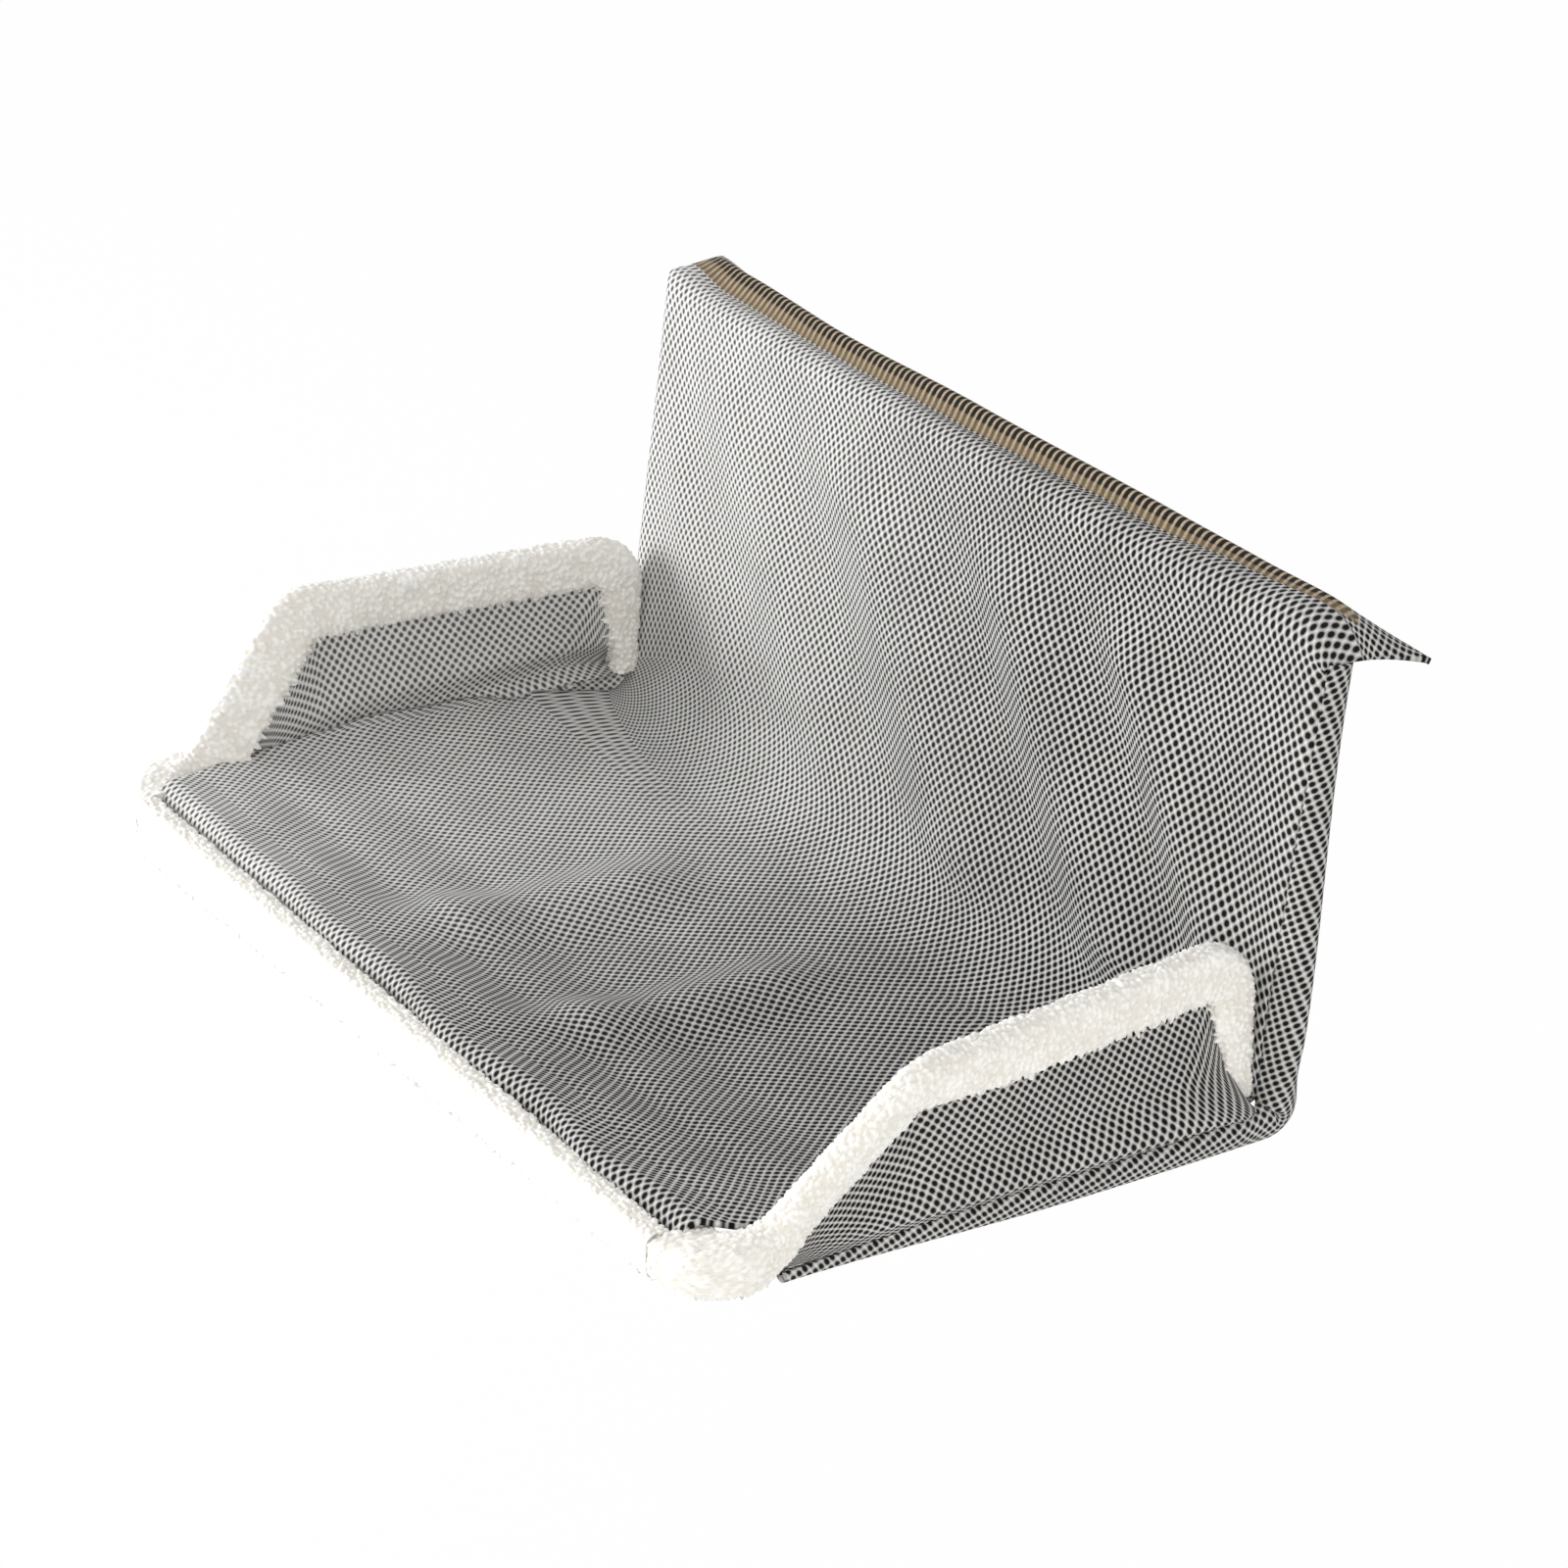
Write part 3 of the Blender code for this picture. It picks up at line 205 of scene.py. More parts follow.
# Steel: two uprights, three cross bars, the front bar, the arm hoops, the guides and the strap hooks.
# They are bent and welded from tube and strip, then powder coated black with a fine orange peel.
COAT_BLACK, COAT_GREY = (0.030, 0.030, 0.033), (0.045, 0.045, 0.048)
STEEL_NODES = ("left_upright", "right_upright", "top_bar", "hook_bar", "lower_bar", "front_bar",
               "left_arm_hoop", "right_arm_hoop", "left_hook_guide", "right_hook_guide",
               "left_hook", "right_hook")


def dress(nodes, finish):
    """Give carried-over nodes a finish."""
    for node in nodes:
        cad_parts[node].data.materials.clear()
        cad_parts[node].data.materials.append(finish)


powder, shader, ink = surface("powder_coat", metallic=0.0, coat_weight=0.15, coat_roughness=0.25)
place = ink.node("TexCoord", out=3)
speck = ink.node("TexNoise", (), {"Vector": place, "Scale": 900.0, "Detail": 2.0})
cloud = ink.node("TexNoise", (), {"Vector": place, "Scale": 35.0, "Detail": 3.0})
join(shader, base_color=cloud.step(0.3, 0.7).mix(shade(COAT_BLACK), shade(COAT_GREY)),
     roughness=cloud.step(0.25, 0.75, 0.36, 0.52),
     normal=ink.node("Bump", (), {"Height": speck, "Strength": 0.25, "Distance": 0.2 * MM}))
dress(STEEL_NODES, powder)


# Zinc: the machine screws and threaded plugs that pull the cross bars to the uprights, and the two clamp
# screws. All are turned steel with a thin bright zinc plate that shows faint tool marks.
ZINC, ZINC_STAIN = (0.60, 0.62, 0.64), (0.70, 0.69, 0.64)
ZINC_NODES = [f"{bar}_{side}_{kind}" for bar in ("top", "hook", "lower") for side in ("left", "right")
              for kind in ("plug", "screw")] + ["left_clamp_screw", "right_clamp_screw"]
zinc, shader, ink = surface("zinc_plate", metallic=1.0)
place = ink.node("TexCoord", out=3)
marks = ink.node("TexNoise", (), {"Vector": place, "Scale": 600.0, "Detail": 3.0})
stain = ink.node("TexNoise", (), {"Vector": place, "Scale": 120.0, "Detail": 2.0})
join(shader, base_color=stain.step(0.3, 0.7).mix(shade(ZINC), shade(ZINC_STAIN)),
     roughness=marks.step(0.3, 0.7, 0.28, 0.42),
     normal=ink.node("Bump", (), {"Height": marks, "Strength": 0.15, "Distance": 0.1 * MM}))
dress(ZINC_NODES, zinc)


# Rubber and plastic: pads and bumpers are moulded black rubber with a dull bloom, glued or pushed on;
# the foot caps and clamp knobs are black nylon with a fine spark-eroded grain.
RUBBER_NODES = ("left_rest_pad", "right_rest_pad", "left_tip_pad", "right_tip_pad",
                "left_bumper", "right_bumper")
NYLON_NODES = ("left_foot_cap", "right_foot_cap", "left_clamp_knob", "right_clamp_knob")
for name, nodes, dark, light, rough, grain in (
        ("black_rubber", RUBBER_NODES, (0.018, 0.018, 0.019), (0.045, 0.044, 0.043), 0.78, 500.0),
        ("black_nylon", NYLON_NODES, (0.028, 0.028, 0.030), (0.050, 0.050, 0.052), 0.42, 1400.0)):
    made, shader, ink = surface(name)
    place = ink.node("TexCoord", out=3)
    bloom = ink.node("TexNoise", (), {"Vector": place, "Scale": 60.0, "Detail": 4.0})
    fine = ink.node("TexNoise", (), {"Vector": place, "Scale": grain, "Detail": 2.0})
    join(shader, base_color=bloom.step(0.35, 0.75).mix(shade(dark), shade(light)),
         roughness=bloom.step(0.2, 0.8, rough - 0.06, rough + 0.08),
         normal=ink.node("Bump", (), {"Height": fine, "Strength": 0.3, "Distance": 0.15 * MM}))
    dress(nodes, made)


# Arm hoops: each is one bent bar, and the fleece and the side walls follow its line from the rear leg
# over the arm and down the slope into the front bar.
def centre_of(node):
    low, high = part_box(node)
    return (low + high) / 2


TOP_BAR, LOWER_BAR, FRONT_BAR = (centre_of(node) for node in ("top_bar", "lower_bar", "front_bar"))
HOOP_BENDS = (18.0 * MM, 22.0 * MM, 14.0 * MM, 13.0 * MM)
HOOP_RUNS, HOOP_TURNS = (78, 225, 100, 12, 18), (36, 36, 22, 32)
LEG_X, LEG_Y, LEG_START_Z = 224.4 * MM, -38.4 * MM, -129.0 * MM
KNEE_X, KNEE_Z = 221.0 * MM, -67.9 * MM
ELBOW_X, ELBOW_REACH, ELBOW_RISE = 239.0 * MM, 74.0 * MM, 5.5 * MM
TOE_X, TOE_REACH, TOE_RISE = 225.0 * MM, 20.5 * MM, 2.5 * MM
BAR_END = 204.8 * MM
BAND_TALL = {-1: 27.0 * MM, 1: 18.5 * MM}
BAND_TOP = 5.7 * MM
SLOPE_ROLL = math.radians(28)
BAND_HEIGHTS = ((0.0, 5.5 * MM), (0.17, 11.0 * MM), (0.55, 11.0 * MM), (0.68, 12.5 * MM), (0.86, 12.5 * MM))
BAND_DROPS = ((0.0, 0.0), (0.17, 4.0 * MM), (0.86, 4.0 * MM))
BAND_WIDTHS = ((0.0, 5.5 * MM), (0.17, 6.5 * MM), (0.55, 6.5 * MM), (0.68, 6.2 * MM), (0.88, 6.2 * MM),
               (1.0, 13.7 * MM))
BAND_ROLLS = ((0.5, 0.0), (0.68, SLOPE_ROLL), (0.85, SLOPE_ROLL), (0.95, 0.0))
BAND_SHIFTS = ((0.88, 0.0), (1.0, 7.4 * MM))
INWARD_TURN = math.sin(math.radians(18))


def blend_values(stops, place):
    """Value at a place along a row of (place, value) stops, eased between them."""
    if place <= stops[0][0]:
        return stops[0][1]
    for (low, start), (high, end) in zip(stops, stops[1:]):
        if place <= high:
            share = (place - low) / (high - low)
            return start + (end - start) * share * share * (3 - 2 * share)
    return stops[-1][1]


def ease(low, high, value):
    """Smooth step from 0 at low to 1 at high."""
    share = min(max((value - low) / (high - low), 0.0), 1.0)
    return share * share * (3 - 2 * share)


def bent_line(corners, radii, runs, turns):
    """Straight runs joined by arcs, with a fixed count of steps on each."""
    corners = [Vector(corner) for corner in corners]
    line, start = [corners[0]], corners[0]
    for at, radius in enumerate(radii):
        corner = corners[at + 1]
        to_before, to_after = (corners[at] - corner).normalized(), (corners[at + 2] - corner).normalized()
        half = to_before.angle(to_after) / 2
        centre = corner + (to_before + to_after).normalized() * (radius / math.sin(half))
        first = corner + to_before * (radius / math.tan(half))
        axis = to_before.cross(to_after).normalized()
        line += [start.lerp(first, step / runs[at]) for step in range(1, runs[at] + 1)]
        for step in range(1, turns[at] + 1):
            turn = -(math.pi - 2 * half) * step / turns[at]
            line.append(centre + Matrix.Rotation(turn, 3, axis) @ (first - centre))
        start = line[-1]
    line += [start.lerp(corners[-1], step / runs[-1]) for step in range(1, runs[-1] + 1)]
    return line


def headings(path):
    """Direction of travel at each point of a path."""
    found = []
    for index, point in enumerate(path):
        before, after = path[max(index - 1, 0)], path[min(index + 1, len(path) - 1)]
        found.append((after - before).normalized())
    return found


def band_line(side):
    """The hoop's line under its fleece, from above its foot to the front bar, and the share along it."""
    corners = ((LEG_X, LEG_Y, LEG_START_Z), (KNEE_X, LEG_Y, KNEE_Z),
               (ELBOW_X, FRONT_BAR.y + ELBOW_REACH, KNEE_Z + ELBOW_RISE),
               (TOE_X, FRONT_BAR.y + TOE_REACH, FRONT_BAR.z + TOE_RISE),
               (TOE_X, FRONT_BAR.y, FRONT_BAR.z), (BAR_END, FRONT_BAR.y, FRONT_BAR.z))
    line = bent_line([(side * x, y, z) for x, y, z in corners], HOOP_BENDS, HOOP_RUNS, HOOP_TURNS)
    travel = [0.0]
    for near, far in zip(line, line[1:]):
        travel.append(travel[-1] + (far - near).length)
    return line, [step / travel[-1] for step in travel]


def band_frames(side):
    """Place, directions and half sizes of the padded band's section along its line."""
    line, shares = band_line(side)
    end = BAND_TALL[side] / 2
    heights, drops = (*BAND_HEIGHTS, (1.0, end)), (*BAND_DROPS, (1.0, end - BAND_TOP))
    frames = []
    for point, heading, share in zip(line, headings(line), shares):
        outside = Vector((side, 0, 0))
        if abs(heading.x) > INWARD_TURN:
            outside = Vector((-heading.y * side, heading.x * side, 0))
        outside = (outside - heading * outside.dot(heading)).normalized()
        outside.rotate(Quaternion(heading, -blend_values(BAND_ROLLS, share) * side))
        up = heading.cross(outside) * side
        centre = point - up * blend_values(drops, share) + outside * blend_values(BAND_SHIFTS, share)
        frames.append((centre, up, outside, blend_values(heights, share), blend_values(BAND_WIDTHS, share)))
    return frames


# Cover cloth: one thick spacer-mesh fabric, knitted from pale grey yarn with offset rows of oval holes.
# It is cut as panels and sewn; here each panel carries a map in metres, so the knit keeps its size.
HOLE_PITCH = 4.2 * MM
HOLE_ROW = 2.5 * MM
HOLE_HALF_WIDTH = (0.80 * MM, 1.10 * MM)
HOLE_HALF_LENGTH = (0.95 * MM, 1.22 * MM)
TWIST_WIDTH, TWIST_LENGTH = 0.9 * MM, 0.42 * MM
# Yarn: a painted highlight where it crests between the holes and painted shade where it dips towards them;
# noise adds its own uneven tone.
YARN_LIT, YARN_SHADED = (0.80, 0.795, 0.785), (0.24, 0.235, 0.225)
# Holes: painted shade seen through the knit, grey towards the left and black towards the right, following the
# stretch share.
HOLE_SHADE_GREY, HOLE_SHADE_BLACK = (0.10, 0.10, 0.10), (0.008, 0.007, 0.007)
# Hem: beige painted shade on its back face, ribs with darker gaps, and black slots at the top.
HEM_SHADE_RIB, HEM_SHADE_GAP = (0.43, 0.345, 0.24), (0.15, 0.11, 0.065)
HEM_FADE = (0.93, 0.99)
STRETCH_AND_SHADE_SPAN = (-0.25, 0.13)
WELD = 0.02 * MM
CLOTH = 2.5 * MM


def knit(name):
    """Spacer mesh: offset rows of holes in twisted yarn, wider where stretched; painted shade in its holes
    and where its yarn dips, a painted highlight on the yarn's crests, and beige painted shade with black
    slots on the ribs at its hem.
    """
    made, shader, ink = surface(name, roughness=0.75, sheen_weight=0.04, sheen_roughness=0.5)
    shader.inputs["Specular IOR Level"].default_value = 0.12
    place = ink.node("UVMap", {"uv_map": "cloth"})
    split = made.node_tree.nodes.new("ShaderNodeSeparateXYZ")
    made.node_tree.links.new(place.socket, split.inputs[0])
    across, along = (Wire(made.node_tree, split.outputs[axis]) for axis in (0, 1))
    stretch_and_shade = ink.node("Attribute", {"attribute_name": "stretch_and_shade"}, out=2)
    hem = ink.node("Attribute", {"attribute_name": "hem"}, out=2)
    columns, rows = across / HOLE_PITCH, along / (2 * HOLE_ROW)
    wide = stretch_and_shade.step(0.0, 1.0, *(HOLE_PITCH / size for size in HOLE_HALF_WIDTH))
    long = stretch_and_shade.step(0.0, 1.0, *(2 * HOLE_ROW / size for size in HOLE_HALF_LENGTH))
    nearest = None
    for shift in (0.0, 0.5):
        column = ((columns + shift).math("FRACT") - 0.5) * wide
        row = ((rows + shift).math("FRACT") - 0.5) * long
        reach = (column * column + row * row).math("SQRT")
        nearest = reach if nearest is None else nearest.math("MINIMUM", reach)
    yarn, crest = nearest.step(0.72, 1.16), nearest.step(0.9, 2.1)
    twist = (along * (2 * math.pi / TWIST_LENGTH) + across * (2 * math.pi / TWIST_WIDTH)).math("SINE")
    fuzz = ink.node("TexNoise", (), {"Vector": place, "Scale": 1400.0, "Detail": 2.0})
    cloud = ink.node("TexNoise", (), {"Vector": place, "Scale": 28.0, "Detail": 3.0})
    # Painted shade and highlight on the yarn: darker towards the holes, lighter on its crests, with fuzz,
    # twist and cloud for its own uneven tone.
    thread_tone_and_shade = crest * 0.85 + fuzz * 0.3 + twist * 0.05 + cloud.step(0.3, 0.7, -0.06, 0.06)
    color = thread_tone_and_shade.math("ADD", 0.0, clamp=True).mix(shade(YARN_SHADED), shade(YARN_LIT))
    # Painted shade in the holes, from grey at the left to black at the right.
    color = yarn.mix(stretch_and_shade.mix(shade(HOLE_SHADE_GREY), shade(HOLE_SHADE_BLACK)), color)
    # Painted shade at the hem: beige ribs, darker gaps and black slots on the back face that stands in shade.
    rib = ((across / HOLE_PITCH).math("FRACT") - 0.5).math("ABSOLUTE")
    slot = hem.step(0.45, 0.58) * (1.0 - rib.step(0.26, 0.36))
    hem_shade = rib.step(0.16, 0.40).mix(shade(HEM_SHADE_GAP), shade(HEM_SHADE_RIB))
    hem_shade = slot.mix(hem_shade, shade(HOLE_SHADE_BLACK))
    height = yarn * 0.6 + crest * 0.35 + twist * 0.03 + fuzz * 0.05
    join(shader, base_color=hem.step(0.02, 0.14).mix(color, hem_shade), roughness=yarn.step(0.0, 1.0, 0.95, 0.68),
         normal=ink.node("Bump", (), {"Height": height, "Strength": 0.8, "Distance": 0.9 * MM}))
    return made


CLOTH_FINISH = knit("spacer_mesh")


def open_and_shade_share(point):
    """How far the knit is stretched open at a place, more towards the right arm; the same share paints its
    holes from grey to black, a painted shade.
    """
    return ease(*STRETCH_AND_SHADE_SPAN, point.x)


def grid_mesh(name, rows, closed=False, lay=lambda across, along: (across, along), hem_rows=()):
    """A grid whose rows and columns follow the given points, mapped by its own lengths in metres."""
    count, across = len(rows), len(rows[0])
    work = bmesh.new()
    layer = work.loops.layers.uv.new("cloth")
    stretch_and_shade, hem = (work.verts.layers.float.new(label) for label in ("stretch_and_shade", "hem"))
    bmesh.ops.create_grid(work, x_segments=across - 1, y_segments=count - 1, size=1.0)
    middle = across // 2
    along = [0.0]
    for near, far in zip(rows, rows[1:]):
        along.append(along[-1] + (far[middle] - near[middle]).length)
    spread = []
    for row in rows:
        out = [0.0]
        for near, far in zip(row, row[1:]):
            out.append(out[-1] + (far - near).length)
        spread.append([place - out[middle] for place in out])
    for vert in work.verts:
        column = round((vert.co.x + 1) / 2 * (across - 1))
        row = round((vert.co.y + 1) / 2 * (count - 1))
        for loop in vert.link_loops:
            loop[layer].uv = lay(spread[row][column], along[row])
        vert.co = rows[row][column]
        # The same share paints the holes darker towards the right, a painted shade.
        vert[stretch_and_shade] = open_and_shade_share(vert.co)
        if hem_rows:
            vert[hem] = blend_values(hem_rows, row) * (1 - ease(*HEM_FADE, column / (across - 1)))
    if closed:
        bmesh.ops.remove_doubles(work, verts=work.verts, dist=WELD)
        bmesh.ops.holes_fill(work, edges=[edge for edge in work.edges if edge.is_boundary])
        bmesh.ops.recalc_face_normals(work, faces=work.faces)
    mesh = bpy.data.meshes.new(name)
    work.to_mesh(mesh)
    work.free()
    return mesh


def show(name, mesh, finish, nodes):
    """Link a finished piece, ride it on the frame and hide the nodes it stands in for."""
    piece = bpy.data.objects.new(name, mesh)
    bpy.context.scene.collection.objects.link(piece)
    mesh.materials.append(finish)
    mesh.shade_smooth()
    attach(piece, "frame")
    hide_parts(*nodes)
    return piece


def thicken(piece):
    """Give a sheet the cloth's thickness, centred on it."""
    change = piece.modifiers.new("cloth", "SOLIDIFY")
    change.thickness, change.offset = CLOTH, 0.0


# Side strips: narrow pieces of the same cloth that close the cover's edges. Each runs down the outside
# of its upright, round the lower corner and forward along the bottom, sewn to the back and to the wall.
LEAN = math.atan2(TOP_BAR.y - LOWER_BAR.y, TOP_BAR.z - LOWER_BAR.z)
HALF_WIDTH = 223.5 * MM
COVER_MIDDLE, COVER_RADIUS = 7.45 * MM, 8.7 * MM
COVER_Y = LOWER_BAR.y - 0.93 * MM
COVER_Z = LOWER_BAR.z - 30.0 * MM
SEAT_REACH = COVER_Y - FRONT_BAR.y
STRIP_TOPS = {-1: TOP_BAR.z + 8.0 * MM, 1: TOP_BAR.z + 4.0 * MM}
STRIP_END = 25.0 * MM - SEAT_REACH
STRIP_STEPS = 26
STRIP_BEND, STRIP_BEND_STEPS, STRIP_RUNS = 3.5 * MM, 8, (68, 84)
STRIP_TIP = 2.6 * MM
BULGES = {-1: (0.5 * MM, 2.5 * MM), 1: (1.5 * MM, 9.0 * MM)}
BULGE_HEIGHTS, BULGE_DEPTHS = (40.0 * MM, 180.0 * MM), (10.0 * MM, SEAT_REACH - 56.0 * MM)
BULGE_DIP, DIP_HEIGHTS = 3.5 * MM, (6.0 * MM, 45.0 * MM)
SAG, SAG_HEIGHTS, SAG_DEPTHS = 6.0 * MM, (8.0 * MM, 34.0 * MM), (90.0 * MM, SEAT_REACH - 10.0 * MM)
STRIP_LAP, FOOT_LAP, SEAT_LAP_SHARE = 6.4 * MM, 7.0 * MM, 0.88
FOOT_LAP_HEIGHTS, SEAT_LAP_DEPTHS = (34.0 * MM, 46.0 * MM), (0.0, 20.0 * MM)
WRAP, MORE_WRAP, WRAP_DEPTHS = 112, 38, (8.0 * MM, 24.0 * MM)
STRIP_SCALES, STRIP_SLANT = (1.1, 1.05), 0.4


def back_y(z):
    """Depth of the uprights' centre line at a height."""
    return TOP_BAR.y + (z - TOP_BAR.z) * math.tan(LEAN)


def strip_section(side, y, z):
    """Half height, half width, sag and start angle of the strip where its line passes a place."""
    height, depth = z - COVER_Z, COVER_Y - y
    share = min(max(-depth / STRIP_END, 0), 1)
    tall = COVER_MIDDLE + (STRIP_TIP - COVER_MIDDLE) * share
    plain, bulge = BULGES[side]
    swell = plain + bulge * (1 - ease(*BULGE_HEIGHTS, height))
    swell -= min(BULGE_DIP, bulge) * (1 - ease(*DIP_HEIGHTS, height))
    wide = tall + swell * (1 - ease(*BULGE_DEPTHS, depth))
    sag = SAG * (1 - ease(*SAG_HEIGHTS, height)) * (1 - ease(*SAG_DEPTHS, depth))
    lap = STRIP_LAP + (FOOT_LAP - STRIP_LAP) * (1 - ease(*FOOT_LAP_HEIGHTS, height))
    lap += (wide * SEAT_LAP_SHARE - lap) * ease(*SEAT_LAP_DEPTHS, depth)
    return tall, wide, sag, -math.acos(lap / wide)


def strip_rows(side):
    """The strip's grid, a channel in section that opens towards the frame."""
    low_z = COVER_Z + COVER_RADIUS
    x = side * HALF_WIDTH
    top = STRIP_TOPS[side]
    line = bent_line([(x, back_y(top), top), (x, back_y(low_z), low_z), (x, COVER_Y + STRIP_END, low_z)],
                     (STRIP_BEND,), STRIP_RUNS, (STRIP_BEND_STEPS,))
    rows = []
    for point, heading in zip(line, headings(line)):
        outside, behind = Vector((side, 0, 0)), Vector((0, -heading.z, heading.y))
        tall, wide, sag, start = strip_section(side, point.y, point.z)
        end = math.radians(WRAP + MORE_WRAP * ease(*WRAP_DEPTHS, COVER_Y - point.y))
        row = []
        for step in range(STRIP_STEPS + 1):
            turn = start + (end - start) * step / STRIP_STEPS
            row.append(point + outside * (math.cos(turn) * (wide if math.cos(turn) > 0 else tall))
                       + behind * (math.sin(turn) * (tall + sag if turn > 0 else tall)))
        rows.append(row)
    return rows


def strip_lay(across, along):
    """The strips are cut across the grain, so their knit leans and looks closer."""
    return STRIP_SCALES[0] * across + STRIP_SLANT * along, STRIP_SCALES[1] * along


for side, name in ((-1, "left"), (1, "right")):
    strip = show(name + "_strip_cloth", grid_mesh("strip", strip_rows(side), lay=strip_lay), CLOTH_FINISH,
                 (name + "_side_strip",))
    thicken(strip)


# Side walls: a panel of the same mesh inside each arm, cut flat, and sewn along the bottom strip and up
# into the fleece edge. Its slack bellies outwards in a soft fold just above the lower seam.
WALL_COLUMNS, WALL_ROWS = 100, 40
WALL_HEEL, HEEL_SHARE = 8.0 * MM, 0.12
WALL_LAST_SHARE = 0.90
WALL_TUCK = 1.5 * MM
WALL_BULGE = ((0.0, 8.0 * MM), (0.55, 5.5 * MM), (1.0, 1.0 * MM))
BELLY_RISES, BELLY_FADES = (0.0, 7.0 * MM), (8.0 * MM, 24.0 * MM)
WALL_SLANT = {-1: 0.24, 1: 0.36}


def along_line(line, share):
    """The point at a share of a line's length."""
    lengths = [(far - near).length for near, far in zip(line, line[1:])]
    goal = share * sum(lengths)
    for near, far, length in zip(line, line[1:], lengths):
        if goal <= length:
            return near.lerp(far, goal / length)
        goal -= length
    return line[-1].copy()


def wall_edges(side):
    """Pairs of points on the wall's lower and upper edge, from the rear leg forward."""
    top = [centre - up * (half_height - WALL_TUCK)
           for (centre, up, _, half_height, _), share in zip(band_frames(side), band_line(side)[1])
           if share <= WALL_LAST_SHARE]
    low_z = COVER_Z + COVER_RADIUS
    pairs = []
    for step in range(WALL_COLUMNS + 1):
        share = step / WALL_COLUMNS
        corner = 1 - ease(0.0, HEEL_SHARE, share)
        y = top[0].y + (top[-1].y - top[0].y) * share + WALL_HEEL * corner
        tall, wide, _, start = strip_section(side, y, low_z)
        edge = Vector((side * (HALF_WIDTH + wide * math.cos(start)), y,
                       low_z - tall * math.sin(start) + CLOTH * (0.5 - corner)))
        pairs.append((edge, along_line(top, share)))
    return pairs


def wall_point(side, edges, column, row):
    """A point of the wall, which bellies outwards in a soft fold just above its lower seam."""
    edge, upper = edges[column]
    share = row / WALL_ROWS
    height = (upper - edge).length * share
    belly = blend_values(WALL_BULGE, column / WALL_COLUMNS) * ease(*BELLY_RISES, height)
    belly *= 1 - ease(*BELLY_FADES, height)
    return edge.lerp(upper, share) + Vector((side * belly, 0, 0))


WALL_EDGES = {side: wall_edges(side) for side in (-1, 1)}
for side, name in ((-1, "left"), (1, "right")):
    rows = [[wall_point(side, WALL_EDGES[side], column, row) for column in range(WALL_COLUMNS + 1)]
            for row in range(WALL_ROWS + 1)]
    mesh = grid_mesh("wall", rows, lay=lambda across, along: (across - WALL_SLANT[side] * along, along))
    wall = show(name + "_wall_cloth", mesh, CLOTH_FINISH, (name + "_side_wall",))
    thicken(wall)


# Seat cover: one long panel. Its rear hem stands up behind the top bar and falls away, the front goes
# over the bar, down the leaning back in soft slanted folds, sweeps into the sagging seat and rolls
# round the front bar, where it is sewn to the fleece edge.
ROLL_MIDDLE, ROLL_FROM, ROLL_TURN, ROLL_STEPS = 7.55 * MM, 80, 215, 20
# Each row: a share of the half width, then crest lift and swell, dip reach and depth, ridge reach and
# rise in millimetres.
HEM = ((-1.0, 3.5, 1.5, 7.5, 0.2, 19.0, 7.0), (-0.86, 1.6, 0.0, 6.2, 2.6, 15.5, 6.8),
       (-0.5, 1.6, 0.0, 6.2, 3.2, 12.0, 7.0), (-0.1, 3.2, 0.0, 6.2, 3.2, 12.0, 9.2),
       (0.47, 5.6, 1.5, 8.0, 3.0, 13.0, 10.2), (0.7, 8.0, 3.0, 9.5, 1.6, 14.0, 9.8),
       (0.95, 10.6, 5.0, 10.0, 0.2, 14.0, 11.3), (1.0, 10.6, 5.0, 10.0, 0.2, 14.0, 11.0))
HEM_LENGTHS = ((-1.0, 27.0 * MM), (0.8, 30.0 * MM), (1.0, 23.5 * MM))
HEM_FALL = math.radians(42)
HEM_FLARES = {-1: 6.0 * MM, 1: 15.0 * MM}
HEM_ENDS = {-1: 54.0 * MM, 1: 47.5 * MM}
SEAT_EDGES = ((7.0 * MM - SEAT_REACH, 209.0 * MM), (15.0 * MM - SEAT_REACH, 216.0 * MM),
              (32.0 * MM - SEAT_REACH, 219.0 * MM), (50.0 * MM - SEAT_REACH, 222.0 * MM),
              (70.0 * MM - SEAT_REACH, 224.0 * MM), (0.0, 224.0 * MM))
BACK_HALF = HALF_WIDTH + STRIP_LAP + 0.4 * MM
BACK_WIDENS = (6.0 * MM, 17.0 * MM)
BACK_FOOT = 4.0 * MM
HUG_BELOW, HUG_ABOVE = 6.0 * MM, 4.0 * MM
FOLD_REACH = HALF_WIDTH + 2.3 * MM
FOLD_VALLEYS = tuple(FOLD_REACH * share for share in (-0.908, -0.620, -0.213, 0.301, 0.713, 1.027))
FOLD_RISES = (2.0 * MM, 4.0 * MM, 8.5 * MM, 8.5 * MM, 7.0 * MM)
FOLD_SLANT, FOLD_LEVEL = 0.8, 70.0 * MM
FOLD_SIDES = (BACK_HALF - 34.0 * MM, BACK_HALF - 8.0 * MM)
FOLD_FOOT, FOLD_HEAD = (14.0 * MM, 42.0 * MM), (148.0 * MM, 182.0 * MM)
SWEEP_END, SWEEP_RISE = -62.0 * MM, 10.0 * MM
SWEEP_BEND, SWEEP_TIGHTER = 50.0, 38.0
HEM_BENDS = (2.4 * MM, 2.0 * MM)
COVER_RUNS, COVER_TURNS, SEAT_STEPS = (12, 3, 3, 60, 2), (5, 4, 12, 24), 60
SEAT_LOW = ((0.0, 4.0 * MM), (0.3, 3.0 * MM), (0.55, 5.0 * MM), (0.8, 14.0 * MM), (1.0, 26.0 * MM))
SEAT_HIGH = ((0.0, 14.0 * MM), (0.3, 19.5 * MM), (0.55, 24.0 * MM), (0.8, 26.5 * MM), (1.0, 28.0 * MM))
ROLL_START = 13.0 * MM - SEAT_REACH
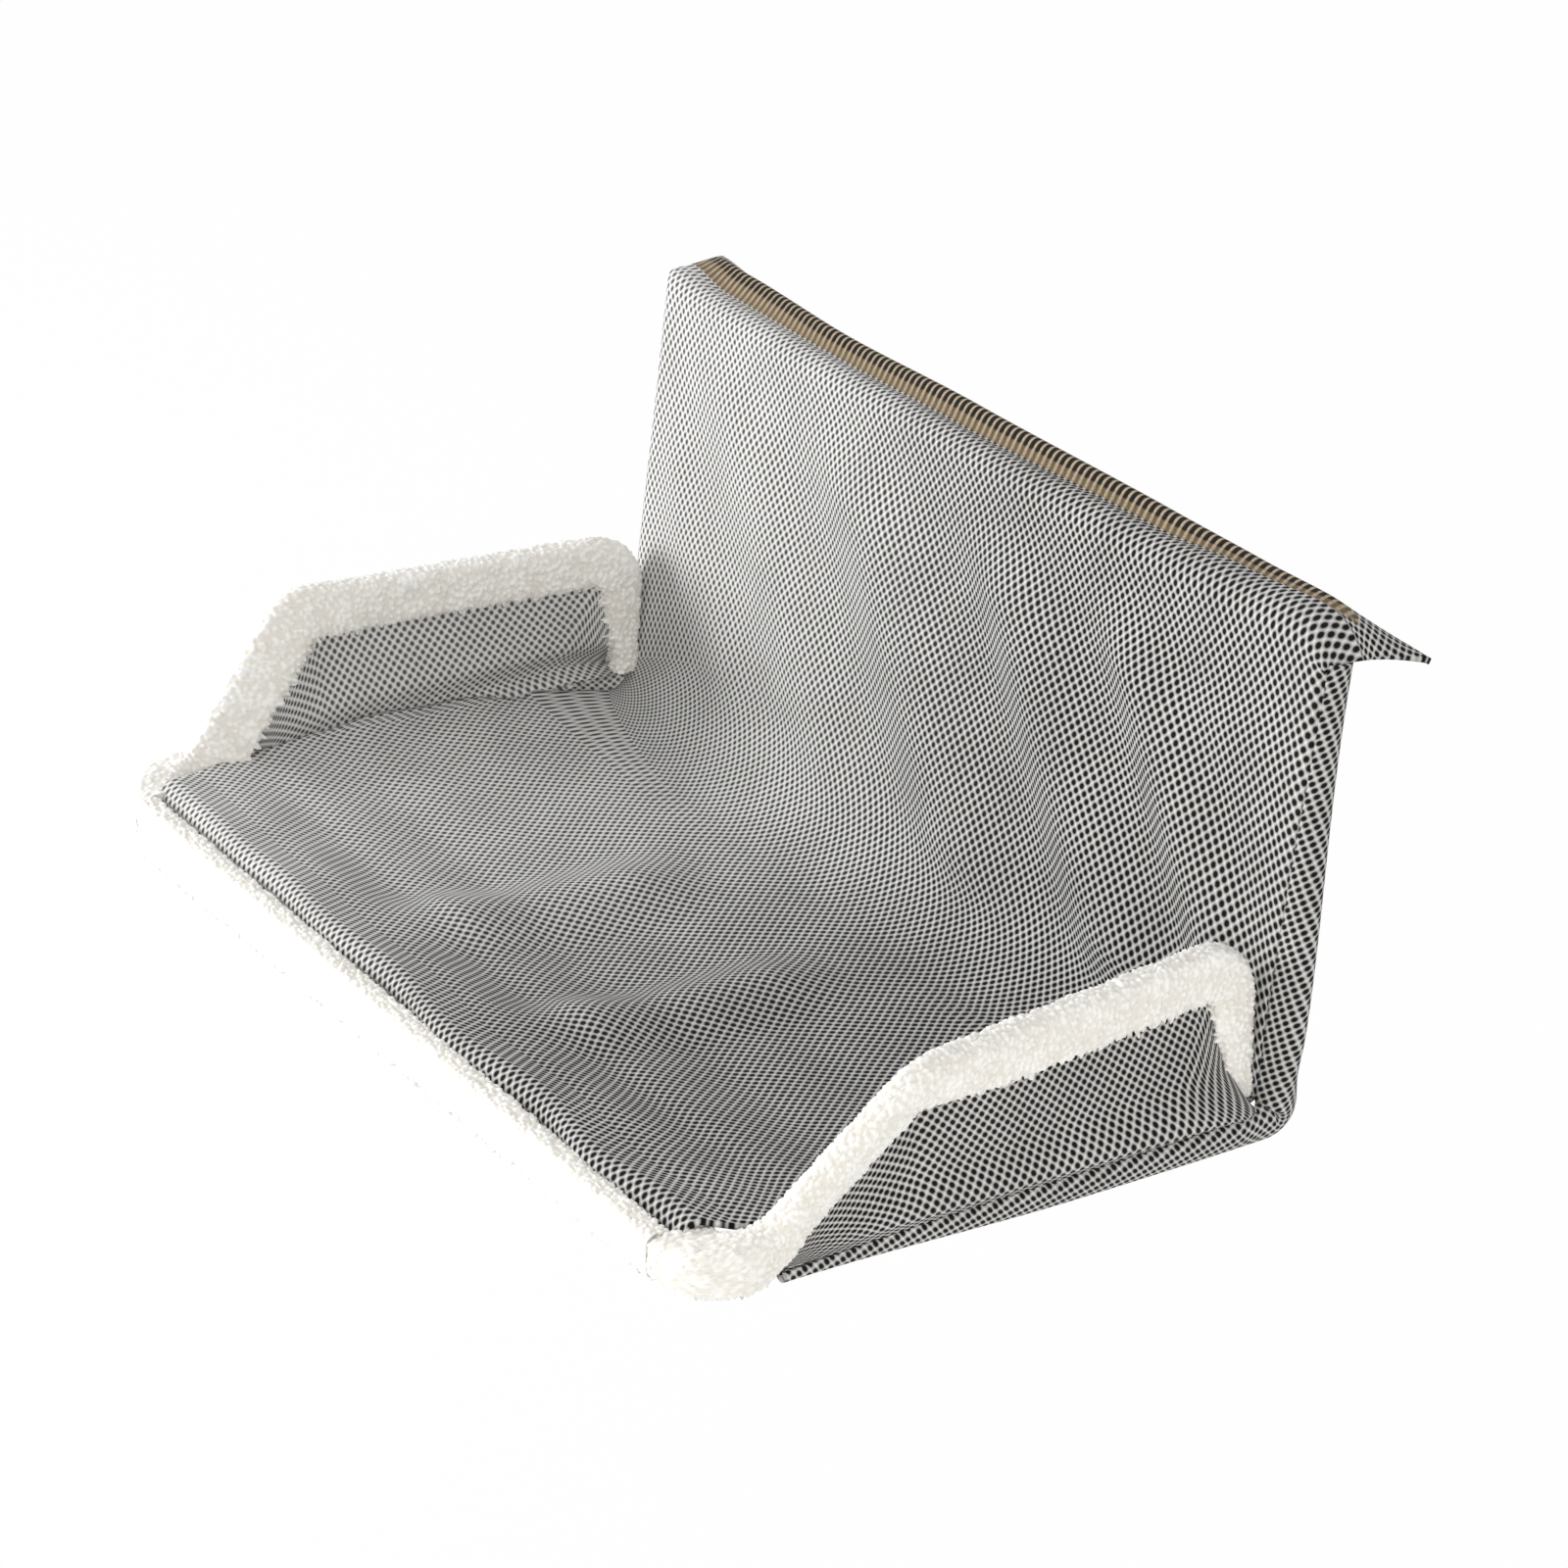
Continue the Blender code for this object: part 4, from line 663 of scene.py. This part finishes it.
SEAT_RIDGES = ((-60.0 * MM, 36.0 * MM, 8.5 * MM), (40.0 * MM, 32.0 * MM, 8.0 * MM))
RIDGES_RISE, RIDGES_FADE = (70.0 * MM, 115.0 * MM), (195.0 * MM, 232.0 * MM)
WALL_MEETS, WALL_PARTS = (62.0 * MM, 80.0 * MM), (172.0 * MM, 200.0 * MM)
TUCK_POWER = 30
COLUMNS = 200
KNIT_SPREAD, KNIT_DRIFT = 1.04, 0.2


def cover_line(share):
    """The cover's section at a share of its half width, from the hem's tip to under the front bar."""
    side = abs(share) ** 3
    lift, swell, dip_reach, dip, ridge_reach, ridge_rise = (
        blend_values([(row[0], row[size] * MM) for row in HEM], share) for size in range(1, 7))
    bar_top = TOP_BAR.z + COVER_MIDDLE
    crest_z = bar_top + lift
    ridge = Vector((0, TOP_BAR.y + ridge_reach, bar_top + ridge_rise))
    tip = ridge + Vector((0, math.cos(HEM_FALL), -math.sin(HEM_FALL))) * blend_values(HEM_LENGTHS, share)
    lower_z = COVER_Z + BACK_FOOT
    offset = COVER_MIDDLE / math.cos(LEAN)
    corners = (tip, ridge, (0, TOP_BAR.y + dip_reach, crest_z - dip), (0, back_y(crest_z) - offset, crest_z),
               (0, back_y(lower_z) - offset, lower_z), (0, COVER_Y + SWEEP_END, lower_z + SWEEP_RISE * side))
    radii = (*HEM_BENDS, COVER_MIDDLE + swell, (SWEEP_BEND - SWEEP_TIGHTER * side) * MM)
    line = bent_line(corners, radii, COVER_RUNS, COVER_TURNS)
    for step in range(1, SEAT_STEPS + 1):
        station = step / SEAT_STEPS
        low, high = blend_values(SEAT_LOW, station), blend_values(SEAT_HIGH, station)
        line.append(Vector((0, COVER_Y + SWEEP_END + (ROLL_START - SWEEP_END) * station,
                            COVER_Z + low + (high - low) * side)))
    for step in range(ROLL_STEPS + 1):
        turn = math.radians(ROLL_FROM + ROLL_TURN * step / ROLL_STEPS)
        line.append(FRONT_BAR + Vector((0, math.cos(turn), math.sin(turn))) * ROLL_MIDDLE)
    return line


def fold_rise(x, height):
    """How far the cloth swells forward of the plain back at a place."""
    place = x + FOLD_SLANT * (height - FOLD_LEVEL)
    rise = 0.0
    for low, high, top in zip(FOLD_VALLEYS, FOLD_VALLEYS[1:], FOLD_RISES):
        if low < place < high:
            rise = top * math.sin(math.pi * (place - low) / (high - low)) ** 2
    fade = 1 - ease(*FOLD_SIDES, abs(x))
    return rise * fade * ease(*FOLD_FOOT, height) * (1 - ease(*FOLD_HEAD, height))


def seat_ridge(x, depth):
    """Height of the two soft ridges that run from the front of the seat to its middle."""
    rise = sum(top * (0.5 + 0.5 * math.cos(math.pi * min(abs(x - middle) / half, 1)))
               for middle, half, top in SEAT_RIDGES)
    return rise * ease(*RIDGES_RISE, depth) * (1 - ease(*RIDGES_FADE, depth))


def seat_half(side, point):
    """How far the seat reaches at a place to meet the side wall's inner face."""
    edges = WALL_EDGES[side]
    first, last = edges[0][0].y, edges[-1][0].y
    at = min(max((point.y - first) / (last - first), 0), 1) * WALL_COLUMNS
    column = min(int(at), WALL_COLUMNS - 1)
    low, high = (edges[column][end].lerp(edges[column + 1][end], at - column) for end in (0, 1))
    climb = min(max((point.z - low.z) / (high.z - low.z), 0), 1)
    row = round(climb * WALL_ROWS)
    return abs(wall_point(side, edges, column, row).x) - CLOTH


def cover_rows():
    """The whole panel's grid of points."""
    columns = []
    for column in range(COLUMNS + 1):
        share = 2 * column / COLUMNS - 1
        side = 1 if share > 0 else -1
        line = cover_line(share)
        points = []
        for point in line:
            height = point.z - COVER_Z
            half = blend_values(SEAT_EDGES, point.y - COVER_Y)
            if point.y > COVER_Y + SWEEP_END:
                half += (BACK_HALF - half) * ease(*BACK_WIDENS, height)
            else:
                depth = COVER_Y - point.y
                meets = ease(*WALL_MEETS, depth) * (1 - ease(*WALL_PARTS, depth))
                half += (seat_half(side, point) - half) * meets
            over = min(max((point.y - TOP_BAR.y) / (line[0].y - TOP_BAR.y), 0), 1)
            half += HEM_FLARES[side] * over ** 2
            x = share * half
            behind = rise = 0.0
            if point.y < TOP_BAR.y:
                wide = strip_section(side, point.y, max(point.z, COVER_Z + COVER_RADIUS))[1]
                past = min(max(abs(x) - HALF_WIDTH, 0) / wide, 1)
                hugs = 1 - ease(STRIP_TOPS[side] - HUG_BELOW, STRIP_TOPS[side] + HUG_ABOVE, point.z)
                behind = COVER_MIDDLE * (1 - math.sqrt(1 - past * past)) * hugs
                rise = fold_rise(x, height)
            tuck = max(point.z - HEM_ENDS[side], 0) * abs(share) ** TUCK_POWER
            points.append(Vector((x, point.y + behind - rise,
                                  point.z - tuck + seat_ridge(x, COVER_Y - point.y))))
        columns.append(points)
    return [list(row) for row in zip(*columns)]


def cover_lay(across, along):
    """The knit's map, closer towards the left arm and drawn wider towards the right."""
    return KNIT_SPREAD * across - KNIT_DRIFT * across ** 2, along


# Rows of the cover that carry the hem's beige painted shade.
HEM_ROWS = ((13, 0.0), (14, 1.0), (22, 0.0))
mesh = grid_mesh("seat_cover", cover_rows(), lay=cover_lay, hem_rows=HEM_ROWS)
cover = show("seat_cover", mesh, CLOTH_FINISH, ("back_panel", "seat_panel"))
thicken(cover)


# Fleece edges: strips of cream lambskin-look fleece, folded over wadding and round the arm hoops and the
# front bar's seam. The pile is short, curly and ragged where it ends on the mesh.
CURL, FINE_CURL = 2.3 * MM, 1.0 * MM
CURL_RISE, FINE_RISE = 1.0 * MM, 0.45 * MM
CURL_HALF = 0.62
CLUMP, CLUMP_RISE = 9.0 * MM, 0.5 * MM
PILE_SINK = 0.6
TUFT, TUFT_PITCH = 5.0 * MM, 1.9 * MM
TUFT_GAP, TUFT_EDGE = 0.02, (0.6, 0.92)
CORNER_FILL = 0.9
# Fleece: its own cream colour, and a darker beige used both for its uneven tone and for painted shade in the
# hollows between curls.
FLEECE, FLEECE_DARK_TONE_AND_SHADE = (0.96, 0.955, 0.925), (0.84, 0.81, 0.745)
PILE_SIDES = 96
FRONT_RINGS = 700
FRONT_HALF, FRONT_OFFSET, FRONT_DEPTH = 204.5 * MM, 15.1 * MM, 6.0 * MM
fleece, shader, ink = surface("cream_fleece", roughness=0.95, sheen_weight=0.45, sheen_roughness=0.6)
place = ink.node("TexCoord", out=3)
cloud = ink.node("TexNoise", (), {"Vector": place, "Scale": 45.0, "Detail": 3.0})
wool = ink.node("TexNoise", (), {"Vector": place, "Scale": 520.0, "Detail": 4.0})
fibre = ink.node("TexNoise", (), {"Vector": place, "Scale": 2200.0, "Detail": 2.0})
# Colour: painted shade in the hollows between the curls, where the pile height is low, mixed with the wool's
# own uneven tone.
pile = ink.node("Attribute", {"attribute_name": "pile"}, out=2)
tone_and_crevice_shade = (pile * 0.8 + wool * 0.4 + cloud * 0.12 + fibre * 0.15).step(0.40, 0.90)
relief = wool * 0.7 + fibre * 0.5
join(shader, base_color=tone_and_crevice_shade.mix(shade(FLEECE_DARK_TONE_AND_SHADE), shade(FLEECE)),
     normal=ink.node("Bump", (), {"Height": relief, "Strength": 0.45, "Distance": 0.4 * MM}))


def curl_height(point):
    """Height of the pile at a place: round curls with finer ones on them."""
    wide = min(noise.voronoi(point / CURL)[0][0] / CURL_HALF, 1.0)
    fine = min(noise.voronoi(point / FINE_CURL)[0][0] / CURL_HALF, 1.0)
    soft = noise.noise(point / CLUMP)
    return CURL_RISE * (1 - wide * wide) + FINE_RISE * (1 - fine * fine) + CLUMP_RISE * soft


def fleece_mesh(name, rings):
    """A closed roll through the rings with its pile raised."""
    mesh = grid_mesh(name, [ring + [ring[0].copy()] for ring in rings], closed=True)
    work = bmesh.new()
    work.from_mesh(mesh)
    work.normal_update()
    pile = work.verts.layers.float.new("pile")
    places = []
    for vert in work.verts:
        height = curl_height(vert.co)
        # The pile height is kept to paint the hollows between curls darker, a painted shade.
        vert[pile] = height / (CURL_RISE + FINE_RISE)
        places.append((vert, vert.co + vert.normal * (height - CURL_RISE * PILE_SINK)))
    for vert, place in places:
        vert.co = place
    work.to_mesh(mesh)
    work.free()
    return mesh


def padded_ring(centre, up, outside, half_height, half_width):
    """Rounded rectangle of points about a centre, whose lower edge is drawn out in ragged tufts."""
    ring = []
    for index in range(PILE_SIDES):
        turn = 2 * math.pi * index / PILE_SIDES
        c, s = math.cos(turn), math.sin(turn)
        fill = 1 + ((c ** 4 + s ** 4) ** -0.25 - 1) * CORNER_FILL
        point = centre + up * (half_height * c * fill) + outside * (half_width * s * fill)
        if c < 0:
            spike = max(noise.noise(point / TUFT_PITCH) - TUFT_GAP, 0)
            point -= up * (TUFT * spike * ease(*TUFT_EDGE, -c))
        ring.append(point)
    return ring


for side, name in ((-1, "left"), (1, "right")):
    rings = [padded_ring(*section) for section in band_frames(side)]
    roll = show(name + "_arm_fleece", fleece_mesh("fleece", rings), fleece, (name + "_arm_trim",))

rings = []
for step in range(FRONT_RINGS + 1):
    share = 2 * step / FRONT_RINGS - 1
    half = (BAND_TALL[-1] * (1 - share) + BAND_TALL[1] * (1 + share)) / 4
    centre = Vector((FRONT_HALF * share, FRONT_BAR.y - FRONT_OFFSET, FRONT_BAR.z + BAND_TOP - half))
    rings.append(padded_ring(centre, Vector((0, 0, 1)), Vector((0, -1, 0)), half, FRONT_DEPTH))
roll = show("front_fleece", fleece_mesh("fleece", rings), fleece, ("front_trim",))
